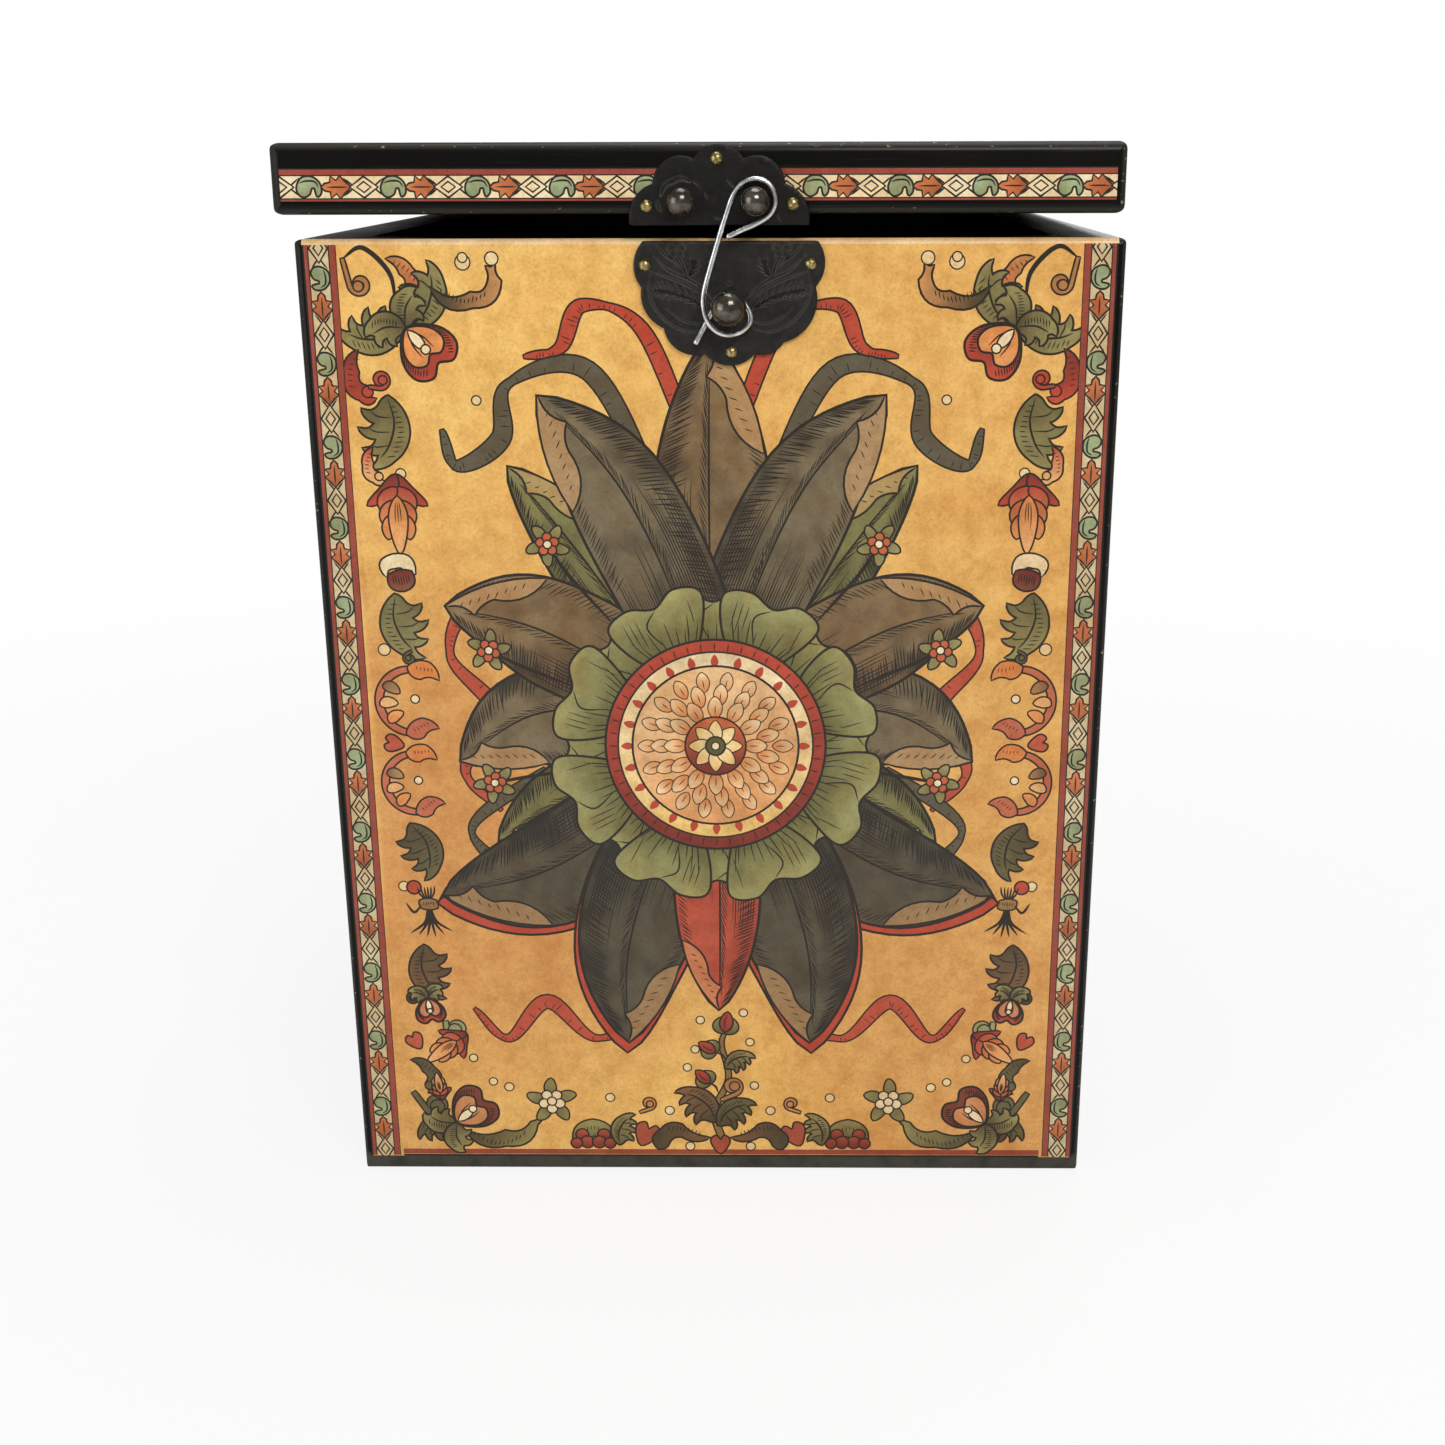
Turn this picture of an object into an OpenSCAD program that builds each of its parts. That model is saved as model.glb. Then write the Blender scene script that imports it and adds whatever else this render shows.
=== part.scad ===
// Jack-in-the-box: a lacquered wooden box with a hinged lid, a scalloped iron lock held by a bent
// wire latch, and a jester on a conical spring that rises as the lid swings open.
// Millimetres. The origin is the centre of the underside; +X is right, +Y is back, +Z is up.
// The model stands latched, with the lid a little ajar and the figure pressed down inside.

/* [Box] */
// Outside width of the box
box_w = 180; // [174:1:210]
// Outside depth of the box
box_d = 180; // [176:1:210]
// Height of the walls
box_h = 228; // [226:1:260]
// Thickness of the four walls
wall_t = 14; // [12:0.5:15]
// Thickness of the bottom board
floor_t = 10; // [8:0.5:12]
// Rounding of the outer edges
edge_r = 1.6; // [0.8:0.1:2.4]

/* [Lid] */
// Thickness of the lid board
lid_t = 14.8; // [13:0.2:18]
// How far the lid stands proud of the front
lid_over_front = 2; // [1:0.5:4]
// How far the lid stands proud of each side
lid_over_side = 1.25; // [0.5:0.25:4]
// How far the lid stands proud of the back, where it meets the wall and stops the lid
lid_over_back = 6; // [5.5:0.25:7]
// Sideways set of the lid on its worn hinges, to the left
lid_shift = 2.25; // [0:0.25:3]
// Gap between rim and lid when shut
lid_gap = 0.4; // [0.3:0.1:0.8]
// Angle that the latched lid stands ajar
lid_ajar = 1.5; // [1.3:0.1:1.6]
// Rounding of the lid's edges
lid_edge_r = 2.2; // [1.6:0.1:2.6]

/* [Printed paper] */
// Thickness of the glued paper
paper_t = 0.2; // [0.1:0.05:0.4]
// Black margin left at each side of the front paper
paper_side = 3; // [2:0.5:6]
// Black margin left below the front paper
paper_foot = 4; // [3:0.5:8]
// Height of the paper band on the lid
band_h = 8; // [6:0.5:9]
// Height of the band above the lid's underside
band_up = 2.7; // [2.4:0.1:3.5]

/* [Hinges] */
// Distance from a side of the box to the middle of the nearer hinge
hinge_in = 34; // [28:1:44]
// Length of one hinge
hinge_len = 26; // [22:1:32]
// Length of the middle knuckle
knuckle_mid = 9.4; // [8:0.2:10]
// Thickness of a hinge leaf
leaf_t = 1; // [0.8:0.1:1.2]
// Reach of a leaf from the pin
leaf_reach = 11; // [10:0.5:13]
// Radius of the hinge barrel
barrel_r = 2; // [1.8:0.1:2.3]
// Radius of the hinge pin
hinge_pin_r = 0.9; // [0.7:0.05:1]
// Radial play of the pin
pin_play = 0.05; // [0.02:0.01:0.08]
// Distance of the pin's axis behind the back wall
axis_out = 1; // [0.8:0.1:1.2]

/* [Lock plates] */
// Thickness of both iron plates
plate_t = 1; // [0.8:0.1:1.2]
// Reach of the box plate's lobes from its centre
box_plate_r = 20.7; // [19:0.1:22]
// Sideways place of the box plate
box_plate_x = 4.3; // [-5:0.1:8]
// Depth of the box plate's centre below the rim
box_plate_drop = 6.2; // [5.8:0.1:8]
// Reach of the lid plate's top lobe above its foot
lid_plate_r = 16.6; // [15:0.1:17]
// Reach of the lid plate's side lobes
lid_plate_side = 19.3; // [18:0.1:21]
// Sideways place of the lid plate
lid_plate_x = 2.3; // [-5:0.1:8]
// How far the lid plate hangs below the lid
lid_plate_hang = 2.3; // [1.5:0.1:3]
// Radius of a brass nail's head
nail_head_r = 1.4; // [1.1:0.1:1.6]
// Radius of a nail's shank
nail_r = 0.5; // [0.4:0.05:0.6]
// Length of a nail in the wood
nail_len = 8; // [6:0.5:11]

/* [Knobs and wire latch] */
// Radius of the box knob's ball
box_ball_r = 3.8; // [3.6:0.05:3.85]
// Distance of that ball's centre from its plate
box_ball_out = 7.5; // [7.4:0.1:8.2]
// Radius of the lid knobs' balls
lid_ball_r = 3; // [2.7:0.05:3.05]
// Distance of those balls' centres from their plate
lid_ball_out = 4.2; // [4:0.1:4.5]
// Radius of a knob's neck
neck_r = 1.2; // [1:0.05:1.25]
// Diameter of the latch wire
wire_d = 1.25; // [1.05:0.05:1.3]

/* [Spring and its seats] */
// Room between the wooden disc that carries the spring and the nearest wall
seat_room = 36; // [34:0.5:40]
// Thickness of that disc
seat_t = 8; // [7:0.5:9]
// Radius of the plug under the head
plug_r = 21; // [20:0.5:22]
// Thickness of the plug
plug_t = 8; // [7:0.5:9]
// Thickness of the spring wire
spring_wire = 2.2; // [1.8:0.1:2.6]
// Distance of the bottom coil's middle from the disc's edge
coil_in = 8; // [6:0.5:10]
// Mean radius of the top coil
coil_top_r = 17; // [15:0.5:18]
// Number of free turns
coil_turns = 9; // [7:1:11]

/* [Figure] */
// How far the figure's axis stands in front of the box's middle
figure_fore = 4; // [2:0.5:6]
// Depth of the plug's underside below the rim when pressed down
plug_drop = 90; // [88:0.5:94]
// Radius of the skull
skull_r = 32; // [30:0.5:33]
// Height of the skull's centre above the plug's top
skull_up = 42; // [41:0.5:43]
// Radius of the jaw
jaw_r = 20; // [18:0.5:21]
// Thickness of the felt hood
hood_t = 2; // [1.6:0.1:2.2]
// Radius of the hood's face opening
face_r = 24; // [22:0.5:25]
// Radius of a jingle bell
bell_r = 5.5; // [4.5:0.1:6]
// Room between the pleated collar and the nearest wall
ruff_room = 22; // [20:0.5:26]
// Number of pleats in the collar
ruff_pleats = 14; // [10:1:18]
// Room between the gown's folds and the nearest wall
gown_room = 26; // [25:0.5:28]
// Number of folds in the pressed gown
gown_folds = 6; // [4:1:7]
// Room between the tips of the cap's horns and the nearest wall
horn_room = 14; // [12:0.5:18]

/* [Hidden] */
$fn = 48;
SOFT_FN = 20;      // facets of blended soft shapes
fit_gap = 0.3;     // clearance where one piece is seated on another without a fit
eps = 0.01;        // overshoot of a cut past a face
side_names = [["left", -1], ["right", 1]];

// ---- derived places ----
front_y = -box_d / 2;
back_y = box_d / 2;
hinge_y = back_y + axis_out;
hinge_z = box_h + lid_gap / 2;
lid_w = box_w + 2 * lid_over_side;
lid_front_y = front_y - lid_over_front;
lid_d = box_d + lid_over_front + lid_over_back;
lid_under = box_h + lid_gap;
hinge_pitch = box_w - 2 * hinge_in;
inner_half = min(box_w, box_d) / 2 - wall_t;
figure_y = -figure_fore;
seat_r = inner_half - seat_room;
coil_foot_r = seat_r - coil_in;
ruff_r = inner_half - ruff_room;
gown_r = inner_half - gown_room;
horn_reach = inner_half - horn_room;
seat_top = floor_t + seat_t;
plug_z = box_h - plug_drop;
plug_top = plug_z + plug_t;
skull_z = plug_top + skull_up;
hood_r = skull_r + fit_gap + hood_t;

// ---- shared shapes ----

// A rectangle about the origin with round corners.
module rounded_rect(w, h, r) {
    square([w - 2 * r, h], center = true);
    square([w, h - 2 * r], center = true);
    for (sx = [-1, 1], sy = [-1, 1])
        translate([sx * (w / 2 - r), sy * (h / 2 - r)]) circle(r);
}

// A block with every outer edge rounded: centred in X and Y, standing on z = 0.
module soft_block(w, d, h, r) {
    intersection() {
        linear_extrude(h) rounded_rect(w, d, r);
        translate([0, d / 2, h / 2]) rotate([90, 0, 0]) linear_extrude(d) rounded_rect(w, h, r);
        translate([-w / 2, 0, h / 2]) rotate([90, 0, 90]) linear_extrude(w) rounded_rect(d, h, r);
    }
}

// A cylinder that runs along +X from x = from to x = to.
module bar_x(r, from, to) {
    translate([from, 0, 0]) rotate([0, 90, 0]) cylinder(r = r, h = to - from);
}

// Children are drawn for a lid that is shut; this swings them to the latched angle.
module on_lid() {
    translate([0, hinge_y, hinge_z]) rotate([-lid_ajar, 0, 0])
        translate([-lid_shift, -hinge_y, -hinge_z]) children();
}

// Places children on a front face with +Z pointing out of it, towards the viewer.
module on_front(x, y, z) {
    translate([x, y, z]) rotate([90, 0, 0]) children();
}

// A point on a Catmull-Rom curve through p, at segment i and share t.
function spline_at(p, i, t) =
    let (n = len(p) - 1, a = p[max(0, i - 1)], b = p[i], c = p[min(n, i + 1)], d = p[min(n, i + 2)])
    0.5 * (2 * b + (c - a) * t + (2 * a - 5 * b + 4 * c - d) * t * t
        + (3 * b - a - 3 * c + d) * t * t * t);

function spline(p, steps) = concat(
    [for (i = [0 : len(p) - 2], k = [0 : steps - 1]) spline_at(p, i, k / steps)],
    [p[len(p) - 1]]);

function unit(v) = v / norm(v);

// Tangents of a path by central differences.
function tangents(p) = [for (i = [0 : len(p) - 1])
    unit(p[min(len(p) - 1, i + 1)] - p[max(0, i - 1)])];

// Side vectors carried along the path, so that the rings of a sweep don't twist.
function carried(t, v, i = 0, out = []) =
    i == len(t) ? out
    : let (flat = v - (v * t[i]) * t[i], w = unit(flat)) carried(t, w, i + 1, concat(out, [w]));

// A closed tube of the given radii along a path.
module tube(path, radii, sides = 10, start = [0, 1, 0]) {
    t = tangents(path);
    u = carried(t, start);
    n = len(path);
    rings = [for (i = [0 : n - 1], k = [0 : sides - 1])
        let (a = 360 * k / sides, v = cross(t[i], u[i]))
        path[i] + radii[i] * (cos(a) * u[i] + sin(a) * v)];
    walls = [for (i = [0 : n - 2], k = [0 : sides - 1])
        let (a = i * sides + k, b = i * sides + (k + 1) % sides)
        [a, a + sides, b + sides, b]];
    ends = [[for (k = [0 : sides - 1]) k], [for (k = [sides - 1 : -1 : 0]) (n - 1) * sides + k]];
    polyhedron(concat(rings), concat(walls, ends), convexity = 10);
}

// ---- wooden box ----

module box_outline() { soft_block(box_w, box_d, box_h, edge_r); }

module wall_slab(y) {
    intersection() {
        box_outline();
        translate([-box_w / 2, y, 0]) cube([box_w, wall_t, box_h]);
    }
}

module side_slab(side) {
    intersection() {
        box_outline();
        translate([side * (box_w - wall_t) / 2, 0, box_h / 2])
            cube([wall_t, box_d - 2 * wall_t, box_h], center = true);
    }
}

module front_panel() {
    color("#151412") difference() {
        wall_slab(front_y);
        box_plate_fixings(nail_len, knob_shank);
    }
}

module back_panel() {
    color("#151412") difference() {
        wall_slab(back_y - wall_t);
        each_hinge() {
            leaf_pocket(box_h - leaf_t, leaf_t + eps);
            translate([0, hinge_y, hinge_z]) barrel_room();
            leaf_screws(box_h, 1, screw_len);
        }
    }
}

module left_panel() { color("#151412") side_slab(-1); }

module right_panel() { color("#151412") side_slab(1); }

module bottom_board() {
    color("#2a2119") difference() {
        translate([0, 0, floor_t / 2])
            cube([box_w - 2 * wall_t, box_d - 2 * wall_t, floor_t], center = true);
        seat_screw_set();
    }
}

paper_w = box_w - 2 * paper_side;
paper_top = box_h - edge_r;

module front_paper() {
    color("#dcb777") difference() {
        translate([-paper_w / 2, front_y - paper_t, paper_foot])
            cube([paper_w, paper_t, paper_top - paper_foot]);
        box_plate_fixings(eps, eps);
    }
}

// ---- lid ----

module lid_board() {
    color("#151412") on_lid() difference() {
        translate([0, lid_front_y + lid_d / 2, lid_under]) soft_block(lid_w, lid_d, lid_t, lid_edge_r);
        translate([lid_shift, 0, 0]) each_hinge() {
            leaf_pocket(lid_under - eps, leaf_t + eps);
            translate([0, hinge_y, hinge_z]) barrel_room();
            leaf_screws(lid_under, -1, screw_len);
        }
        lid_plate_fixings(nail_len, knob_shank);
    }
}

module lid_paper_band() {
    color("#d9c193") on_lid() difference() {
        translate([-lid_w / 2 + lid_edge_r, lid_front_y - paper_t, lid_under + band_up])
            cube([lid_w - 2 * lid_edge_r, paper_t, band_h]);
        lid_plate_fixings(eps, eps);
    }
}

// ---- hinges ----
screw_len = 9;          // hinge screw, from the head's flat
screw_r = 0.95;
screw_head_r = 1.9;
screw_sink = 0.8;       // depth of the countersink
screw_spread = 17;      // between the two screws of one leaf
screw_back = 7;         // from the pin's axis to the screws
knuckle_gap = 0.3;
barrel_clear = 0.3;     // from the barrel to the wood round it

module each_hinge() {
    for (s = side_names) translate([s[1] * hinge_pitch / 2, 0, 0]) children();
}

module leaf_pocket(z, h) {
    translate([-hinge_len / 2, hinge_y - leaf_reach, z]) cube([hinge_len, leaf_reach, h]);
}

module barrel_room() {
    reach = hinge_len / 2 + barrel_clear;
    bar_x(barrel_r + barrel_clear, -reach, reach);
}

// Two countersunk screws whose heads lie flush at height z; way is 1 when they point down.
module leaf_screws(z, way, length) {
    for (s = [-1, 1]) translate([s * screw_spread / 2, hinge_y - screw_back, z])
        mirror([0, 0, way > 0 ? 1 : 0]) screw_body(length, screw_r, screw_head_r, screw_sink);
}

// A countersunk screw along +Z with its flat at z = 0.
module screw_body(length, r, head_r, sink) {
    cylinder(r1 = head_r, r2 = r, h = sink);
    cylinder(r = r, h = length);
}

module slotted_screw(length, r, head_r, sink) {
    slot_w = r * 0.55;
    slot_deep = sink * 0.45;
    difference() {
        screw_body(length, r, head_r, sink);
        translate([-head_r, -slot_w / 2, -eps]) cube([2 * head_r, slot_w, slot_deep + eps]);
    }
}

// Spans of the barrel's knuckles along X: the box leaf has the outer two, the lid leaf the middle.
mid_half = knuckle_mid / 2;
outer_from = mid_half + knuckle_gap;

module knuckles(outer) {
    difference() {
        if (outer) for (s = [0, 1]) mirror([s, 0, 0]) bar_x(barrel_r, outer_from, hinge_len / 2);
        else bar_x(barrel_r, -mid_half, mid_half);
        bar_x(hinge_pin_r + pin_play, -hinge_len, hinge_len);
    }
}

module knuckle_relief(outer) {
    r = barrel_r + barrel_clear;
    if (outer) for (s = [0, 1]) mirror([s, 0, 0]) bar_x(r, mid_half, hinge_len / 2 + eps);
    else bar_x(r, -outer_from, outer_from);
}

// One leaf lying on z with its knuckles: the outer two or the middle one. Screws point along way.
module hinge_leaf(z, outer, way) {
    difference() {
        union() {
            leaf_pocket(z, leaf_t);
            translate([0, hinge_y, hinge_z]) knuckles(outer);
        }
        translate([0, hinge_y, hinge_z]) knuckle_relief(!outer);
        translate([0, hinge_y, hinge_z]) bar_x(hinge_pin_r + pin_play, -hinge_len, hinge_len);
        leaf_screws(way > 0 ? box_h : lid_under, way, screw_len);
    }
}

module hinge_box_leaf(side) {
    color("#8d6f35") translate([side * hinge_pitch / 2, 0, 0])
        hinge_leaf(box_h - leaf_t, true, 1);
}

module hinge_lid_leaf(side) {
    color("#8d6f35") on_lid() translate([lid_shift + side * hinge_pitch / 2, 0, 0])
        hinge_leaf(lid_under, false, -1);
}

module hinge_pin(side) {
    color("#b08d4a") translate([side * hinge_pitch / 2, hinge_y, hinge_z])
        bar_x(hinge_pin_r, -hinge_len / 2, hinge_len / 2);
}

module leaf_screw_set(z, way) {
    for (s = [-1, 1]) translate([s * screw_spread / 2, hinge_y - screw_back, z])
        mirror([0, 0, way > 0 ? 1 : 0]) slotted_screw(screw_len, screw_r, screw_head_r, screw_sink);
}

module hinge_box_screws() { color("#a98a4c") each_hinge() leaf_screw_set(box_h, 1); }

module hinge_lid_screws() {
    color("#a98a4c") on_lid() translate([lid_shift, 0, 0]) each_hinge() leaf_screw_set(lid_under, -1);
}

// ---- lock plates ----
knob_shank = 7;         // length of a knob's shank in the wood
shank_r = 1.2;
collar_t = 0.4;         // small flange at the foot of a knob's neck
collar_r = 1.6;
plate_top_gap = 0.4;    // the box plate stops this far below the rim

box_plate_z = box_h - box_plate_drop;
box_plate_face = front_y - paper_t - plate_t;
lid_plate_foot = lid_under - lid_plate_hang;
lid_plate_back = lid_front_y - paper_t;
behind_face = plate_t + paper_t;    // from a plate's face to the wood

// Nails and knobs, as [x, z] from each plate's own centre.
box_nails = [[-18.2, 0.8], [17.6, 1], [0.3, -17.7]];
box_knob_at = [0, -7.7];
lid_nails = [[-15.5, 4], [15.7, 4.4], [-0.4, 13.7]];
lid_knobs = [[-8, 4.9], [7.7, 4.9]];

// The hand-cut lobes of each plate: [x, z] of a lobe's centre and its radius, as shares of the
// plate's reach.
box_lobes = [
    [0.65, 0.06, 0.35], [0.46, -0.31, 0.46], [0.33, -0.61, 0.28], [0, -0.66, 0.34],
    [-0.37, -0.56, 0.33], [-0.55, -0.26, 0.38], [-0.64, 0.03, 0.36],
];
lid_lobes = [[0.62, 0.08, 0.38], [0.42, 0.43, 0.31]];
lid_top_lobe = 0.385;   // radius of its top lobe as a share of its height

// The box plate about its centre, cut off straight below the rim.
module box_plate_outline() {
    intersection() {
        union() {
            circle(box_plate_r * 0.78);
            for (l = box_lobes) translate(box_plate_r * [l[0], l[1]]) circle(box_plate_r * l[2]);
        }
        translate([-box_plate_r, -2 * box_plate_r])
            square([2 * box_plate_r, 2 * box_plate_r + box_plate_drop - plate_top_gap]);
    }
}

// The lid plate about the middle of its straight foot.
module lid_plate_outline() {
    intersection() {
        union() {
            circle(lid_plate_r * 0.72);
            translate([0, lid_plate_r * (1 - lid_top_lobe)]) circle(lid_plate_r * lid_top_lobe);
            for (s = [-1, 1], l = lid_lobes)
                translate(lid_plate_side * [s * l[0], l[1]]) circle(lid_plate_side * l[2]);
        }
        translate([-lid_plate_side, 0]) square([2 * lid_plate_side, 2 * lid_plate_r]);
    }
}

module nail_holes(at, length) {
    for (p = at) translate([p[0], p[1], -length]) cylinder(r = nail_r, h = length + plate_t + eps);
}

module knob_holes(at, length) {
    for (p = at) translate([p[0], p[1], -length]) cylinder(r = shank_r, h = length + plate_t + eps);
}

// Everything the box plate's fixings take out of the plate, the paper and the front panel.
module box_plate_fixings(nail_deep, knob_deep) {
    on_front(box_plate_x, front_y - paper_t, box_plate_z) {
        nail_holes(box_nails, paper_t + nail_deep);
        knob_holes([box_knob_at], paper_t + knob_deep);
    }
}

module lid_plate_fixings(nail_deep, knob_deep) {
    on_front(lid_plate_x + lid_shift, lid_plate_back, lid_plate_foot) {
        nail_holes(lid_nails, paper_t + nail_deep);
        knob_holes(lid_knobs, paper_t + knob_deep);
    }
}

module box_lock_plate() {
    color("#2b2927") difference() {
        on_front(box_plate_x, front_y - paper_t, box_plate_z) linear_extrude(plate_t) box_plate_outline();
        box_plate_fixings(eps, eps);
    }
}

module lid_lock_plate() {
    color("#2b2927") on_lid() difference() {
        on_front(lid_plate_x + lid_shift, lid_plate_back, lid_plate_foot)
            linear_extrude(plate_t) lid_plate_outline();
        lid_plate_fixings(eps, eps);
    }
}

// Round-headed pins whose heads sit on a face at z = plate_t.
module nails(at) {
    for (p = at) translate([p[0], p[1], plate_t]) {
        translate([0, 0, -behind_face - nail_len]) cylinder(r = nail_r, h = behind_face + nail_len);
        intersection() {
            translate([0, 0, -nail_head_r * 0.35]) sphere(nail_head_r * 1.06);
            cylinder(r = 2 * nail_head_r, h = 2 * nail_head_r);
        }
    }
}

module box_plate_nails() {
    color("#b0904f") on_front(box_plate_x, front_y - paper_t, box_plate_z) nails(box_nails);
}

module lid_plate_nails() {
    color("#b0904f") on_lid() on_front(lid_plate_x + lid_shift, lid_plate_back, lid_plate_foot)
        nails(lid_nails);
}

// A ball on a neck, with a small flange on the plate and a shank in the wood.
module knob(ball_r, ball_out) {
    translate([0, 0, plate_t]) {
        translate([0, 0, ball_out]) sphere(ball_r);
        cylinder(r = neck_r, h = ball_out);
        cylinder(r = collar_r, h = collar_t);
        translate([0, 0, -behind_face - knob_shank]) cylinder(r = shank_r, h = behind_face + knob_shank);
    }
}

module box_knob() {
    color("#3a3633") on_front(box_plate_x + box_knob_at[0], front_y - paper_t, box_plate_z + box_knob_at[1])
        knob(box_ball_r, box_ball_out);
}

module lid_knob(i) {
    color("#3a3633") on_lid()
        on_front(lid_plate_x + lid_shift + lid_knobs[i][0], lid_plate_back, lid_plate_foot + lid_knobs[i][1])
        knob(lid_ball_r, lid_ball_out);
}

// ---- wire latch ----
// The bent wire, as [x, out, z]: x and z from the box knob's axis, out from the box plate's face.
// It runs from the cut end of the upper eye, round the right lid knob, down, under the box knob,
// up behind its ball and round the neck to the tail.
wire_bends = [
    [-0.35, 3, 14.4], [2.6, 3, 15.8], [5.9, 3, 17.2], [8.8, 3, 19.1], [9.9, 3, 21.9], [8.8, 3, 25.1],
    [6, 3, 26.3], [3.1, 3, 25.4], [1, 3, 22.9], [-0.7, 2.95, 18.5], [-2.2, 2.9, 13.9], [-3.9, 2.85, 8.4],
    [-5.3, 2.85, 3.4], [-5.6, 2.9, 0.4], [-4.9, 2.95, -2.7], [-3.1, 2.8, -5.1], [-0.5, 2.4, -6.1],
    [2.3, 2, -5.5], [4.3, 1.65, -3.7], [4.4, 1.4, -1.6], [3.1, 1.2, 0.6], [1.3, 1.1, 2.1],
    [-0.7, 1, 2.3], [-2.4, 0.95, 1.1], [-4, 0.95, -1.7], [-5.6, 1.2, -4.6], [-7.5, 2.1, -8.1],
];
wire_steps = 3;
knob_x = box_plate_x + box_knob_at[0];
knob_z = box_plate_z + box_knob_at[1];

module latch_wire() {
    path = spline([for (b = wire_bends) [knob_x + b[0], box_plate_face - fit_gap / 3 - b[1], knob_z + b[2]]],
        wire_steps);
    color("#c9cdd2") tube(path, [for (p = path) wire_d / 2], 10);
}

// ---- spring and its seats ----
seat_screw_x = 22;
seat_screw_r = 1.6;
seat_screw_head = 3.2;
seat_screw_sink = 1.8;
seat_screw_len = floor_t + seat_t - 3;
staple_r = 0.6;
staple_leg = 4;
staple_play = 0.15;
// Where the staples hold each end coil, clear of the turn next to it.
foot_angles = [90, 200, 310];
top_angles = [342, 90, 198];
spring_r = spring_wire / 2;

module on_figure_axis() { translate([0, figure_y, 0]) children(); }

module seat_screw_set(slotted = false) {
    for (s = [-1, 1]) translate([s * seat_screw_x, figure_y, 0])
        if (slotted) slotted_screw(seat_screw_len, seat_screw_r, seat_screw_head, seat_screw_sink);
        else screw_body(seat_screw_len, seat_screw_r, seat_screw_head, seat_screw_sink);
}

module seat_screws() { color("#8b8b88") seat_screw_set(true); }

// A wire staple over a spring coil: legs along -Z from z = 0, crown above the coil.
module staple() {
    half = spring_r + staple_play + staple_r;
    crown = spring_wire + staple_play + staple_r;
    for (s = [-1, 1]) translate([s * half, 0, -staple_leg]) cylinder(r = staple_r, h = staple_leg + crown);
    translate([0, 0, crown]) bar_x(staple_r, -half, half);
    for (s = [-1, 1]) translate([s * half, 0, crown]) sphere(staple_r);
}

module staples(r, angles) { for (a = angles) rotate(a) translate([r, 0, 0]) staple(); }

module spring_seat() {
    color("#b58a5a") difference() {
        on_figure_axis() translate([0, 0, floor_t]) cylinder(r = seat_r, h = seat_t);
        seat_screw_set();
        on_figure_axis() translate([0, 0, seat_top]) staples(coil_foot_r, foot_angles);
    }
}

module seat_staples() {
    color("#b9bcc0") on_figure_axis() translate([0, 0, seat_top]) staples(coil_foot_r, foot_angles);
}

// The conical spring: one flat turn on the seat, rising turns, one flat turn under the plug.
module main_spring() {
    per_turn = 20;
    flat = 0.9;
    z0 = seat_top + spring_r + fit_gap / 6;
    z1 = plug_z - spring_r - fit_gap / 6;
    last = (coil_turns + 2 * flat) * per_turn;
    path = [for (i = [0 : last]) let (
        turn = i / per_turn,
        up = min(1, max(0, (turn - flat) / coil_turns)),
        r = coil_foot_r + (coil_top_r - coil_foot_r) * up)
        [r * cos(360 * turn), r * sin(360 * turn), z0 + (z1 - z0) * up]];
    color("#a9adb2") on_figure_axis() tube(path, [for (p = path) spring_r], 8, [0, 0, 1]);
}

// ---- figure ----
neck_screw_len = 20;
neck_screw_r = 1.8;
neck_screw_head = 3.4;
neck_screw_sink = 2;
neck_wide = 13;         // radius of the head's neck
jaw_fore = 8;           // the jaw's centre in front of the skull's
jaw_drop = 14;
nose_r = 4.6;
nose_drop = 7;
nose_tilt = asin(nose_drop / skull_r);

module neck_screw_body(slotted = false) {
    on_figure_axis() translate([0, 0, plug_z])
        if (slotted) slotted_screw(neck_screw_len, neck_screw_r, neck_screw_head, neck_screw_sink);
        else screw_body(neck_screw_len, neck_screw_r, neck_screw_head, neck_screw_sink);
}

module neck_screw() { color("#8b8b88") neck_screw_body(true); }

module plug_staples() {
    color("#b9bcc0") on_figure_axis() translate([0, 0, plug_z]) mirror([0, 0, 1])
        staples(coil_top_r, top_angles);
}

module neck_plug() {
    color("#b58a5a") difference() {
        on_figure_axis() translate([0, 0, plug_z]) cylinder(r = plug_r, h = plug_t);
        neck_screw_body();
        on_figure_axis() translate([0, 0, plug_z]) mirror([0, 0, 1]) staples(coil_top_r, top_angles);
    }
}

module at_skull() { translate([0, figure_y, skull_z]) children(); }

module head() {
    color("#e3b48c") difference() {
        union() {
            at_skull() sphere(skull_r);
            at_skull() translate([0, -jaw_fore, -jaw_drop]) sphere(jaw_r);
            on_figure_axis() translate([0, 0, plug_top]) cylinder(r = neck_wide, h = skull_up - jaw_drop);
        }
        neck_screw_body();
    }
}

// A round nose, flat where it is glued to the face.
module nose() {
    color("#d98f74") at_skull() rotate([90 + nose_tilt, 0, 0]) translate([0, 0, skull_r + fit_gap / 3])
        intersection() {
            translate([0, 0, nose_r * 0.5]) sphere(nose_r);
            cylinder(r = 2 * nose_r, h = 2 * nose_r);
        }
}

hood_foot = -24;        // the hood ends this far from the skull's centre

module hood() {
    color("#4a4a44") at_skull() difference() {
        sphere(hood_r);
        sphere(skull_r + fit_gap);
        rotate([90, 0, 0]) cylinder(r = face_r, h = 2 * hood_r);
        translate([-2 * hood_r, -2 * hood_r, -4 * hood_r + hood_foot]) cube(4 * hood_r);
        translate([0, -jaw_fore, -jaw_drop]) sphere(jaw_r + fit_gap);
    }
}

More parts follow.
